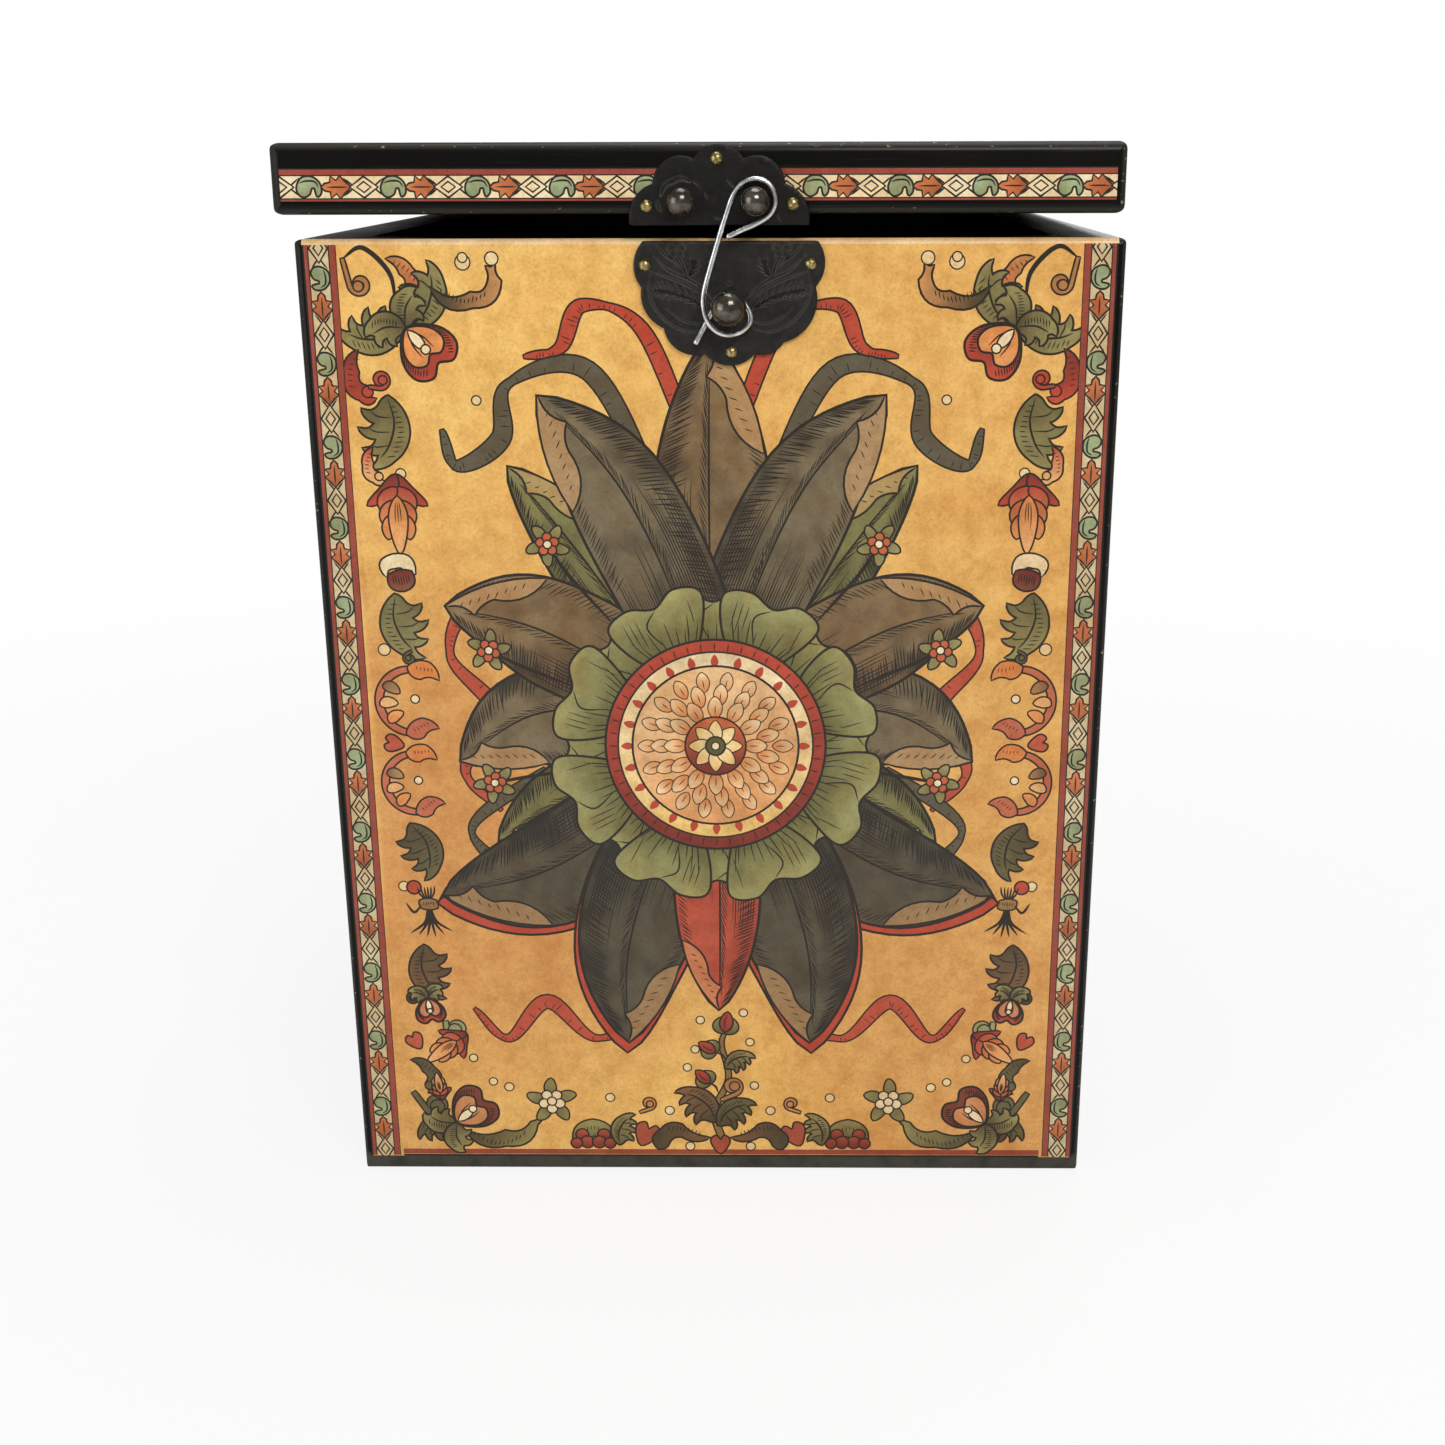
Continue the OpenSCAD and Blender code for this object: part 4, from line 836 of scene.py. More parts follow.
def add_floor():
    """A pale floor with the object's soft shadow, which fades into the white room further away."""
    bpy.ops.mesh.primitive_plane_add(size=8, location=(0, 0, 0))
    floor = bpy.context.object
    floor.name = "studio_floor"
    material = bpy.data.materials.new("pale_floor")
    material.use_nodes = True
    tree = material.node_tree
    tree.nodes.clear()
    new, link = tree.nodes.new, tree.links.new
    matt = new("ShaderNodeBsdfDiffuse")
    matt.inputs["Color"].default_value = (0.86, 0.86, 0.86, 1)
    lit = new("ShaderNodeEmission")
    lit.inputs["Color"].default_value = (1, 1, 1, 1)
    far = new("ShaderNodeVectorMath")
    far.operation = "LENGTH"
    link(new("ShaderNodeTexCoord").outputs["Object"], far.inputs[0])
    fade = new("ShaderNodeMapRange")
    fade.interpolation_type = "SMOOTHSTEP"
    for name, value in (("From Min", 0.12), ("From Max", 0.75), ("To Min", 0.86), ("To Max", 1.0)):
        fade.inputs[name].default_value = value
    link(far.outputs["Value"], fade.inputs["Value"])
    share = new("ShaderNodeMath")
    share.operation = "MULTIPLY"
    link(fade.outputs["Result"], share.inputs[0])
    link(new("ShaderNodeLightPath").outputs["Is Camera Ray"], share.inputs[1])
    choose, out = new("ShaderNodeMixShader"), new("ShaderNodeOutputMaterial")
    link(share.outputs[0], choose.inputs[0])
    link(matt.outputs[0], choose.inputs[1])
    link(lit.outputs[0], choose.inputs[2])
    link(choose.outputs[0], out.inputs[0])
    floor.data.materials.append(material)


# ---- node materials ----


class Look:
    """A material on object coordinates in millimetres, with short calls for its nodes."""

    def __init__(self, name, **sockets):
        self.material = bpy.data.materials.new(name)
        self.material.use_nodes = True
        self.tree = self.material.node_tree
        self.shader = self.tree.nodes["Principled BSDF"]
        self.coords = self.tree.nodes.new("ShaderNodeTexCoord")
        self.place = self.vector("MULTIPLY", self.coords.outputs["Object"], (1000, 1000, 1000))
        self.set(**sockets)

    def set(self, **sockets):
        """Sets the shader's sockets; an underscore stands for a space."""
        for name, value in sockets.items():
            self.put(self.shader.inputs[name.replace("_", " ")], value)
        return self.material

    def put(self, socket, value):
        if isinstance(value, bpy.types.NodeSocket):
            self.tree.links.new(value, socket)
        elif hasattr(value, "__len__") and len(value) == 3 and socket.type == "RGBA":
            socket.default_value = (*value, 1)
        else:
            socket.default_value = value

    def node(self, kind, inputs, **settings):
        node = self.tree.nodes.new("ShaderNode" + kind)
        for name, value in settings.items():
            setattr(node, name, value)
        for key, value in inputs.items():
            self.put(node.inputs[key], value)
        return node

    def vector(self, operation, a, b):
        return self.node("VectorMath", {0: a, 1: b}, operation=operation).outputs[0]

    def math(self, operation, a, b=0.0):
        return self.node("Math", {0: a, 1: b}, operation=operation).outputs[0]

    def noise(self, size, detail=3.0, rough=0.55, stretch=(1, 1, 1)):
        """Noise whose features are about size millimetres, longer along the stretched axes."""
        scale = tuple(1 / (size * s) for s in stretch)
        at = self.vector("MULTIPLY", self.place, scale)
        node = self.node("TexNoise", {"Vector": at, "Scale": 1.0, "Detail": detail, "Roughness": rough})
        return node.outputs["Fac"]

    def specks(self, size):
        """Distance to scattered points about size millimetres apart."""
        return self.node("TexVoronoi", {"Vector": self.place, "Scale": 1 / size}).outputs["Distance"]

    def step(self, value, low, high, a=0.0, b=1.0):
        inputs = {"Value": value, "From Min": low, "From Max": high, "To Min": a, "To Max": b}
        return self.node("MapRange", inputs, interpolation_type="SMOOTHSTEP").outputs["Result"]

    def mix(self, share, a, b, mode="MIX"):
        node = self.node("Mix", {0: share}, data_type="RGBA", blend_type=mode)
        self.put(node.inputs[6], a)
        self.put(node.inputs[7], b)
        return node.outputs[2]

    def bump(self, height, depth, under=None):
        """A normal from a height of 0 to 1 that stands depth millimetres high."""
        inputs = {"Height": height, "Distance": depth * MM, "Strength": 1.0}
        if under is not None:
            inputs["Normal"] = under
        return self.node("Bump", inputs).outputs["Normal"]

    def axes(self, socket):
        """The three numbers of a vector."""
        return self.node("SeparateXYZ", {0: socket}).outputs

    def attribute(self, name, output="Color"):
        """What the mesh itself says at each point."""
        return self.node("Attribute", {}, attribute_name=name).outputs[output]

    def over(self, under, colour, mask, share=1.0):
        """A colour laid over another where the mask says, at a share of its strength."""
        return self.mix(self.math("MULTIPLY", mask, share), under, colour)

    def stained(self, under, tint, mask, share):
        """A colour seen through a transparent tint where the mask says."""
        return self.over(under, self.mix(1.0, under, tint, "MULTIPLY"), mask, share)

    def weave(self, thread):
        """The relief of crossed threads."""
        across = self.noise(thread, 1, 0.4, (1, 1, 12))
        return self.math("MAXIMUM", across, self.noise(thread, 1, 0.4, (9, 9, 1)))

    def rounding(self, low=0.03, high=0.2):
        """1 where a block's edge is rounded over, 0 on its flat faces."""
        x, y, z = (self.math("ABSOLUTE", a) for a in self.axes(self.coords.outputs["Normal"]))
        flat = self.math("MAXIMUM", self.math("MAXIMUM", x, y), z)
        return self.step(self.math("SUBTRACT", 1.0, flat), low, high)

    def edges(self, reach, low=0.04, high=0.3):
        """1 within about reach millimetres of a hard edge."""
        soft = self.node("Bevel", {"Radius": reach * MM}, samples=4).outputs["Normal"]
        true = self.node("NewGeometry", {}).outputs["Normal"]
        dot = self.node("VectorMath", {0: soft, 1: true}, operation="DOT_PRODUCT").outputs["Value"]
        return self.step(self.math("SUBTRACT", 1.0, dot), low, high)


def lacquer():
    """Old black lacquer on wood: brush marks and a painted sheen on all but the front faces, dust and a
    painted highlight on top, a painted highlight with chips and glints along its rounded edges, and paler
    round its foot.
    """
    look = Look("black_lacquer", Coat_Weight=0.1, Coat_Roughness=0.14, Specular_IOR_Level=0.1)
    _, backward, upward = look.axes(look.coords.outputs["Normal"])
    height = look.axes(look.place)[2]
    colour = look.mix(look.step(look.noise(26, 4), 0.35, 0.75), rgb(8, 8, 7), rgb(15, 14, 12))
    scratches = look.step(look.noise(0.35, 1, 0.5, (60, 60, 1)), 0.7, 0.76)
    colour = look.over(colour, rgb(110, 104, 92), scratches, 0.08)
    # painted sheen: all but the front faces get a paler haze and brush marks that stand in for their gloss,
    # and rubbed wear
    sheen_and_wear_faces = look.step(backward, -0.8, -0.3)  # all faces but the front ones
    painted_sheen_haze = look.step(look.noise(46, 6, 0.7), 0.42, 0.72, 0, 0.85)
    colour = look.over(colour, rgb(31, 29, 26), sheen_and_wear_faces, painted_sheen_haze)
    brush_marks_and_sheen = look.step(look.noise(1.5, 4, 0.6, (1, 1, 45)), 0.46, 0.7, 0, 0.5)
    colour = look.over(colour, rgb(38, 36, 31), sheen_and_wear_faces, brush_marks_and_sheen)
    rubbed = look.step(look.noise(13, 6, 0.72), 0.6, 0.72, 0, 0.4)
    colour = look.over(colour, rgb(64, 60, 51), sheen_and_wear_faces, rubbed)
    # top faces paler: settled dust and a painted highlight from above
    dust_and_sheen = look.step(look.noise(30, 6, 0.66), 0.35, 0.7, 0.1, 0.5)
    colour = look.over(colour, rgb(66, 62, 54), look.step(upward, 0.3, 0.95), dust_and_sheen)
    # paler towards the bottom, round the foot
    paler_foot = look.step(look.noise(5, 5), 0.25, 0.6, 0.5, 0.9)
    colour = look.over(colour, rgb(74, 73, 66), look.step(height, 3.6, 5.6, 1, 0), paler_foot)
    edge = look.rounding()
    # painted highlight: the rounded edges turned greyer
    colour = look.over(colour, rgb(60, 58, 52), edge, 0.5)
    # pale flecks on the rounded edges: chipped paint and painted glints
    chips_and_glints = look.math("MULTIPLY", edge, look.step(look.noise(0.9, 4, 0.6, (2.2, 2.2, 1)), 0.64, 0.69))
    colour = look.over(colour, rgb(176, 166, 142), chips_and_glints, 0.6)
    strewn = look.step(look.noise(19, 2), 0.5, 0.6)
    specks = look.math("MULTIPLY", look.step(look.specks(9), 0.03, 0.06, 1, 0), strewn)
    colour = look.over(colour, rgb(130, 124, 110), specks, 0.35)
    rough = look.step(look.noise(32, 3), 0.3, 0.7, 0.27, 0.34)
    peel = look.bump(look.noise(5, 2), 0.02)
    normal = look.bump(look.noise(0.5, 2, 0.6, (14, 14, 1)), 0.008, peel)
    return look.set(Base_Color=colour, Roughness=rough, Normal=normal)


def wood(name, pale, dark, ring=1.6, along=(1, 1, 14)):
    """Bare or waxed wood whose grain runs along the stretched axis."""
    look = Look(name)
    bands = look.math("SINE", look.math("MULTIPLY", look.noise(7, 2, 0.5, along), 46 / ring))
    pores = look.noise(0.45, 3, 0.6, tuple(1.2 * s for s in along))
    share = look.step(look.math("ADD", look.math("MULTIPLY", bands, 0.22), pores), 0.3, 0.85)
    colour = look.mix(share, pale, dark)
    colour = look.mix(look.step(look.noise(18, 3), 0.4, 0.75, 0, 0.35), colour, dark)
    rough = look.step(pores, 0.3, 0.8, 0.5, 0.7)
    return look.set(Base_Color=colour, Roughness=rough, Normal=look.bump(pores, 0.06))


def printed_paper(name):
    """Varnished print: the ink comes from the mesh, and age and paper grain from noise."""
    look = Look(name, Coat_Weight=0.28, Coat_Roughness=0.22, Specular_IOR_Level=0.3, Coat_IOR=1.45)
    tint = look.mix(look.step(look.noise(11, 5, 0.6), 0.3, 0.7), rgb(250, 240, 226), rgb(255, 255, 250))
    colour = look.mix(1.0, look.attribute("ink"), tint, "MULTIPLY")
    wash_tint = look.mix(look.step(look.noise(7.5, 7, 0.72), 0.34, 0.68), (1.1, 1.1, 1.1),
        (0.88, 0.78, 0.66))
    colour = look.mix(1.0, colour, wash_tint, "MULTIPLY")
    spray = look.step(look.noise(0.75, 5, 0.8), 0.46, 0.66)
    colour = look.stained(colour, rgb(190, 164, 136), spray, 0.3)
    grain = look.step(look.noise(0.42, 3, 0.7), 0.3, 0.72)
    colour = look.stained(colour, rgb(208, 184, 150), grain, 0.2)
    stain = look.step(look.noise(34, 4, 0.62), 0.52, 0.72)
    colour = look.stained(colour, rgb(226, 190, 140), stain, 0.3)
    foxing = look.step(look.noise(1.7, 3, 0.55), 0.69, 0.78)
    colour = look.over(colour, rgb(128, 84, 48), foxing, 0.16)
    rough = look.step(look.noise(6, 4), 0.3, 0.7, 0.34, 0.5)
    return look.set(Base_Color=colour, Roughness=rough, Normal=look.bump(look.noise(4.2, 3), 0.02))


def metal(name, base, dark, rough, size, wear=None, depth=0.02, metallic=1.0):
    """A worn metal: tarnish in patches of about size, perhaps rubbed bright along the edges."""
    look = Look(name, Metallic=metallic)
    colour = look.mix(look.step(look.noise(size, 5, 0.62), 0.34, 0.68), base, dark)
    if wear is not None:
        rubbed = look.step(look.noise(1.1, 3), 0.35, 0.6)
        colour = look.over(colour, wear, look.edges(0.35, 0.05, 0.4), rubbed)
    rough_now = look.step(look.noise(size * 0.7, 4), 0.3, 0.7, *rough)
    relief = look.bump(look.noise(0.35, 3, 0.6), depth)
    return look.set(Base_Color=colour, Roughness=rough_now, Normal=relief)


# ---- places from the solids ----
LID_AJAR = math.radians(1.5)
LID_SHIFT = 2.25
HINGE_Y, HINGE_Z = 91.0, 228.2
LID_UNDER, LID_FRONT, LID_W, LID_EDGE = 228.4, -92.0, 182.5, 2.2
PAPER_T = 0.2
PAPER_STEP = 2.0  # spacing of the points inside a printed sheet
PAPER_LAP = 1.2  # how far the paste carries the sheet past its solid on each side
EDGE_TURN = 1.8  # radius of the sheet over the box's rounded top edge

paper_low, paper_high = (Vector(c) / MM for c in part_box("front_paper"))
HINGE_AT = Vector((0, HINGE_Y, HINGE_Z))
SHUT_TO_AJAR = (
    Matrix.Translation(HINGE_AT)
    @ Matrix.Rotation(-LID_AJAR, 4, "X")
    @ Matrix.Translation(Vector((-LID_SHIFT, 0, 0)) - HINGE_AT)
)


def on_box_front(x, z):
    """A place on the box's front; past the flat the sheet turns back over the rounded top edge."""
    past = max(0.0, z - paper_high.z)
    turn = past / EDGE_TURN
    rise = EDGE_TURN * math.sin(turn) - past
    return Vector((x, paper_low.y + EDGE_TURN * (1 - math.cos(turn)), z + rise))


def on_lid_front(x, z):
    """A place on the lid's printed band, drawn for a shut lid."""
    return SHUT_TO_AJAR @ Vector((x, LID_FRONT - PAPER_T, z))


def dress(names, material):
    """Gives CAD nodes a finish."""
    for name in names:
        for slot in nodes[name].material_slots:
            slot.material = material


# ---- the printed papers ----
PICTURE_HALF, PICTURE_LOW, PICTURE_TOP = 89, 3, 230  # what is drawn, a little past the sheet's edges
PARCHMENT, FOXED = rgb(243, 202, 121), rgb(218, 161, 97)
STAINS = [  # middle, reach and strength of the patches of the ground, some of them clean
    (-30 + 196j, 62, 0.0), (46 + 186j, 48, 0.25), (0 + 150j, 60, 0.25), (-58 + 112j, 36, 1.0),
    (60 + 96j, 34, 0.5), (-34 + 52j, 30, 1.0), (52 + 48j, 32, 0.75), (-14 + 22j, 40, 0.0),
    (66 + 150j, 30, 0.25),
]


def ground(p):
    """The stained parchment behind the ornament, a little darker in a ring round the bouquet."""
    weight = np.full(len(p), 0.05)
    stain = 0.75 * weight
    for middle, reach, strength in STAINS:
        w = np.exp(-((abs(p - middle) / reach) ** 2) * 1.6)
        stain += strength * w
        weight += w
    shade = mix(PARCHMENT, FOXED, stain / weight)
    ring = np.exp(-(((abs(p - BOUQUET_AT) - 62) / 22) ** 2)) * 0.22
    return mix(shade, shade * np.asarray((0.72, 0.6, 0.46)), ring)


def worn_rim(p):
    """The sheet's top edge, rubbed pale where it turns over."""
    return mix(ground(p), rgb(240, 230, 210), np.clip(0.5 + 0.4 * wash(4 * p), 0, 1))


def front_shapes():
    """The picture on the box's front: bouquet, borders on both sides and at the foot, and side bands."""
    sheet = (-PICTURE_HALF, PICTURE_HALF)
    shapes = []
    pen = Pen(shapes, random.Random(7))
    lines(pen, *sheet, PICTURE_LOW, PICTURE_TOP, ground)
    lines(pen, -80, 80, PICTURE_LOW, 4.5, INK)
    lines(pen, -80, 80, 4.6, 6.0, FADED_RED)
    bouquet(pen)
    sprig(pen)
    for half in (pen, pen.mirrored()):
        side_border(half)
        foot_border(half)
        lines(half, -PICTURE_HALF, -87.8, PICTURE_LOW, PICTURE_TOP, NIGHT)
        side_band(half, -84.6, 4.2, PICTURE_TOP, 18.35, 226.2)
    for height in (0.5, 1.0, 1.5, 2.0):
        lines(pen, *sheet, paper_high.z + height, paper_high.z + height + 0.5, worn_rim)
    return shapes


def band_shapes():
    """The strip on the lid: a red line, a cream band of lozenge, comma and leaf, and a wider red line."""
    low, period = LID_UNDER, 18.0
    half = LID_W / 2
    shapes = []
    pen = Pen(shapes)
    for z0, z1, tone in ((0, 12, NIGHT), (2.8, 3.2, FADED_RED), (3.45, 7.95, CREAM), (8.2, 9.3, FADED_RED)):
        lines(pen, -half, half, low + z0, low + z1, tone)
    x = -71.1 - 2 * period
    while x < half:
        band_unit(pen.sub(x + 1j * (low + 5.7)), period, 2.25, CREAM)
        x += period
    return shapes


def add_papers():
    rect = (paper_low.x - PAPER_LAP, paper_low.z, paper_high.x + PAPER_LAP, paper_high.z + 2.2)
    look = printed_paper("front_print")
    front = paper("front_print_sheet", front_shapes(), rect, PAPER_STEP, on_box_front, look)
    finish_piece(front, "box", "front_print", "front_paper")
    reach = LID_W / 2 - LID_EDGE
    rect = (-reach, LID_UNDER + 2.7, reach, LID_UNDER + 9.6)
    look = printed_paper("band_print")
    band = paper("lid_print_band", band_shapes(), rect, PAPER_STEP, on_lid_front, look)
    finish_piece(band, "lid", "band_print", "lid_paper_band")


# ---- solid pieces swept and lofted in millimetres ----


def unit(v):
    return v / np.linalg.norm(v)


def round_turn(count):
    """Angles evenly round a full turn."""
    return np.linspace(0, 2 * np.pi, count, endpoint=False)


def grid(name, rows, material, around=True, caps=False, smooth=True):
    """A skin over rows of points, closed round each row and perhaps capped at both ends."""
    rows = np.asarray(rows, float)
    m, n = rows.shape[:2]
    i, j = np.meshgrid(np.arange(m - 1), np.arange(n if around else n - 1), indexing="ij")
    k = (j + 1) % n
    faces = np.stack([i * n + j, i * n + k, (i + 1) * n + k, (i + 1) * n + j], -1).reshape(-1, 4).tolist()
    if caps:
        faces += [list(range(n))[::-1], [(m - 1) * n + q for q in range(n)]]
    return as_mesh(name, rows.reshape(-1, 3) * MM, faces, material, smooth)


def rings_along(path, radii, sides, start=(0, 0, 1)):
    """Rings of points round a path, carried along it without a twist."""
    path = np.asarray(path, float)
    way = np.gradient(path, axis=0)
    way /= np.linalg.norm(way, axis=1)[:, None]
    side = np.asarray(start, float)
    a = round_turn(sides)[:, None]
    rows = []
    for p, w, r in zip(path, way, np.broadcast_to(radii, len(path))):
        side = unit(side - side @ w * w)
        rows.append(p + r * (np.cos(a) * side + np.sin(a) * np.cross(w, side)))
    return np.array(rows)


def smooth_path(points, n=8):
    """The Catmull-Rom curve through points in space."""
    p = np.asarray(points, float)
    plane, height = curve(list(p[:, 0] + 1j * p[:, 1]), n), curve(list(p[:, 2] + 0j), n)
    return np.stack([plane.real, plane.imag, height.real], -1)


def finish_piece(obj, body, slot, *replaced):
    """Says which body a piece rides on and the solids it stands for; slot is not used."""
    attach(obj, body)
    if replaced:
        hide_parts(*replaced)
    return obj


def paint_points(obj, colours, name="ink"):
    """Gives each point of a mesh a colour."""
    inks = obj.data.color_attributes.new(name, "FLOAT_COLOR", "POINT")
    rgba = np.hstack([colours, np.ones((len(colours), 1))])
    inks.data.foreach_set("color", rgba.astype(np.float32).ravel())


# ---- engraved lock plates ----
BOX_PLATE = (4.3, 221.8)  # its centre on the box front
BOX_PLATE_R, BOX_PLATE_TOP = 20.7, 5.8
LID_PLATE = (2.3 + LID_SHIFT, LID_UNDER - 2.3)  # the middle of its foot, for a shut lid
LID_PLATE_R, LID_PLATE_SIDE, LID_TOP_LOBE = 16.6, 19.3, 0.385
PLATE_T = 1.0
GROOVE = 0.34  # depth of an engraved line
PLATE_RIM, PLATE_STEP = 0.3, 0.8  # width of the rim, spacing of the points inside
RIM_DROP = 0.22  # how far the rim falls back at its edge
BOX_LOBES = [
    (0.65 + 0.06j, 0.35), (0.46 - 0.31j, 0.46), (0.33 - 0.61j, 0.28), (-0.66j, 0.34),
    (-0.37 - 0.56j, 0.33), (-0.55 - 0.26j, 0.38), (-0.64 + 0.03j, 0.36),
]
LID_LOBES = [(0.62 + 0.08j, 0.38), (0.42 + 0.43j, 0.31)]


def lobed_outline(lobes, middle, low=-99.0, high=99.0, count=300):
    """The outline of overlapping discs seen from a point inside, cut off straight below and above."""
    a = round_turn(count) + 0.003
    way = np.exp(1j * a)
    reach = np.zeros(count)
    for centre, r in lobes:
        c = centre - middle
        along = (c * np.conj(way)).real
        under = r**2 - abs(c) ** 2 + along**2
        reach = np.maximum(reach, np.where(under > 0, along + np.sqrt(np.maximum(under, 0)), 0))
    up, down = np.sin(a) > 1e-6, np.sin(a) < -1e-6
    reach[up] = np.minimum(reach[up], (high - middle.imag) / np.sin(a[up]))
    reach[down] = np.minimum(reach[down], (low - middle.imag) / np.sin(a[down]))
    return middle + reach * way


class Graver:
    """Engraved lines on both halves of a plate, as centre lines with a width at each point."""

    def __init__(self):
        self.cuts = []

    def cut(self, path, w=0.5, both=True):
        path = np.asarray(path, complex)
        width = w * 0.78 * np.maximum(swell(len(path), 0.4), 0.4)
        self.cuts.append((path, width))
        if both:
            self.cuts.append((-np.conj(path), width))

    def fern(self, rib, count, length, lean=34, w=0.36, sides=(1, -1)):
        """Fine veins that leave a midrib on both sides."""
        way = np.gradient(rib)
        for k in np.linspace(3, len(rib) - 3, count).astype(int):
            for s in sides:
                turn = cmath.exp(1j * math.radians(lean * s)) * way[k] / abs(way[k])
                reach = length * (1 - 0.55 * abs(2 * k / len(rib) - 0.9))
                bow = 1j * s * 0.12 * reach * way[k] / abs(way[k])
                self.cut(curve([rib[k], rib[k] + turn * reach * 0.5 - bow, rib[k] + turn * reach], 4), w)

    def flower(self, at, r):
        for k in range(5):
            middle = at + r * 0.62 * cmath.exp(1j * math.radians(90 + 72 * k))
            a = np.radians(90 + 72 * k + np.linspace(-125, 125, 9))
            self.cut(middle + r * 0.42 * np.exp(1j * a), 0.32)
        self.cut(at + 0.2 * r * np.exp(1j * np.linspace(0, 2 * np.pi, 8)), 0.32)


def box_engraving():
    """Two leafy branches that rise from the knob to the upper corners."""
    graver = Graver()
    branch = curve([3.4 - 6.9j, 6.2 - 3.9j, 9.2 - 2.1j, 13 - 0.4j, 16.2 + 2.6j], 8)
    graver.cut(branch, 0.5)
    graver.cut(curve([3.9 - 7.7j, 6.9 - 4.9j, 10 - 3.1j, 13.6 - 1.7j, 16.8 - 0.6j], 8), 0.4)
    twig = curve([9.2 - 2.1j, 9.6 - 0.6j, 10.2 + 1.2j, 11 + 2.4j], 6)
    graver.cut(twig, 0.42)
    graver.cut(curve([9.6 - 0.6j, 12 + 1.6j, 14.2 + 3.2j, 15.6 + 4.9j], 6), 0.4)
    graver.fern(curve([9.2 - 2.2j, 7.9 - 0.4j, 7.4 + 1.6j], 8), 5, 2.2)
    graver.flower(11.4 + 4.1j, 2.0)
    leaf = curve([4.2 - 9.2j, 8.2 - 6.6j, 12.4 - 5.2j, 15.9 - 4.6j], 10)
    graver.cut(leaf, 0.44)
    graver.fern(leaf, 9, 4.4, 26)
    graver.cut(curve([17.2 - 1.4j, 17.6 - 4.9j, 15.8 - 9j, 12.6 - 12j, 8.6 - 13.4j, 5 - 12.6j], 7), 0.4)
    graver.cut(curve([4.6 - 11j, 7.4 - 11.6j, 10.6 - 10.8j, 13.6 - 8.6j], 7), 0.36)
    graver.cut(0.55 * np.exp(1j * np.linspace(0, 2 * np.pi, 10)) - 2.9j, 0.34, False)
    return graver.cuts


def lid_engraving():
    """A stamped nick round the left knob and a few scratches."""
    graver = Graver()
    for r, a0, a1, w in ((4.6, 62, 168, 0.75), (5.0, 176, 205, 0.5), (4.9, 38, 56, 0.4)):
        a = np.radians(np.linspace(a0, a1, 14))
        graver.cut(-8 + 4.9j + r * np.exp(1j * a) + 0.12 * np.exp(9j * a), w, False)
    starts = [-3 + 6.8j, 1.6 + 9.4j, -1 + 1.6j, 12.4 + 2.2j]
    ends = [-2.4 + 5.4j, 3.4 + 7.6j, 0.5 + 1.2j, 13 + 1j]
    for start, end in zip(starts, ends):
        graver.cut(np.linspace(start, end, 5), 0.3, False)
    return graver.cuts


def halfway(path):
    """The points of a path, and those halfway between them."""
    k, whole = np.arange(0, len(path) - 1, 0.5), np.arange(len(path))
    return np.interp(k, whole, path.real) + 1j * np.interp(k, whole, path.imag)


def cut_gaps(co, cuts, chunk=1500):
    """How far each point is from the nearest engraved line, as a share of that line's width."""
    spines = np.concatenate([path for path, _ in cuts])
    widths = np.concatenate([width for _, width in cuts])
    parts = [co[k : k + chunk, None] for k in range(0, len(co), chunk)]
    return np.concatenate([(abs(part - spines) / widths).min(1) for part in parts])


def plate(name, outline, cuts, place, material):
    """A sheet-iron plate with V-shaped grooves; place puts (x, z, in) in space."""
    grooves = [strap(path, width * share) for path, width in cuts for share in (1, 1.6)]
    middle = outline.mean()
    inner = outline - (outline - middle) / abs(outline - middle) * PLATE_RIM
    xs = np.arange(outline.real.min(), outline.real.max(), PLATE_STEP)
    zs = np.arange(outline.imag.min(), outline.imag.max(), PLATE_STEP)
    lattice = np.array([x + 1j * z for x in xs for z in zs])
    lattice = lattice[inside(lattice, inner)]
    fine = np.concatenate([halfway(path) for path, _ in cuts])
    co, tri = triangulate([outline, inner] + grooves, np.concatenate([lattice, fine]))
    tri = tri[inside(co[tri].mean(1), outline)]
    gap = cut_gaps(co, cuts)
    depth = GROOVE * np.clip(1 - gap, 0, 1)
    depth[np.min(abs(co[:, None] - outline), axis=1) < 0.02] = RIM_DROP
    used, tri = compact(tri)
    gap = gap[used]
    points = [Vector(place(z.real, z.imag, d)) * MM for z, d in zip(co[used], depth[used])]
    obj = as_mesh(name, points, tri, material, True)
    hollow = np.clip(1 - gap, 0, 1) ** 0.6
    # painted highlight along the lips of the grooves
    painted_lip_highlight = np.exp(-(((gap - 1) / 0.25) ** 2))
    paint_points(obj, np.stack([hollow, painted_lip_highlight, 0 * painted_lip_highlight], -1), "cut")
    back = Vector(place(0, 0, PLATE_T)) - Vector(place(0, 0, 0))
    close_back(obj, back * MM)
    return obj


def close_back(obj, back):
    """Turns an open sheet into a solid: its border is drawn back and closed."""
    work = bmesh.new()
    work.from_mesh(obj.data)
    border = [e for e in work.edges if e.is_boundary]
    new = bmesh.ops.extrude_edge_only(work, edges=border)["geom"]
    verts = [v for v in new if isinstance(v, bmesh.types.BMVert)]
    bmesh.ops.translate(work, verts=verts, vec=back)
    rim = [e for e in new if isinstance(e, bmesh.types.BMEdge) and e.is_boundary]
    bmesh.ops.edgeloop_fill(work, edges=rim)
    bmesh.ops.recalc_face_normals(work, faces=work.faces)
    work.to_mesh(obj.data)
    work.free()


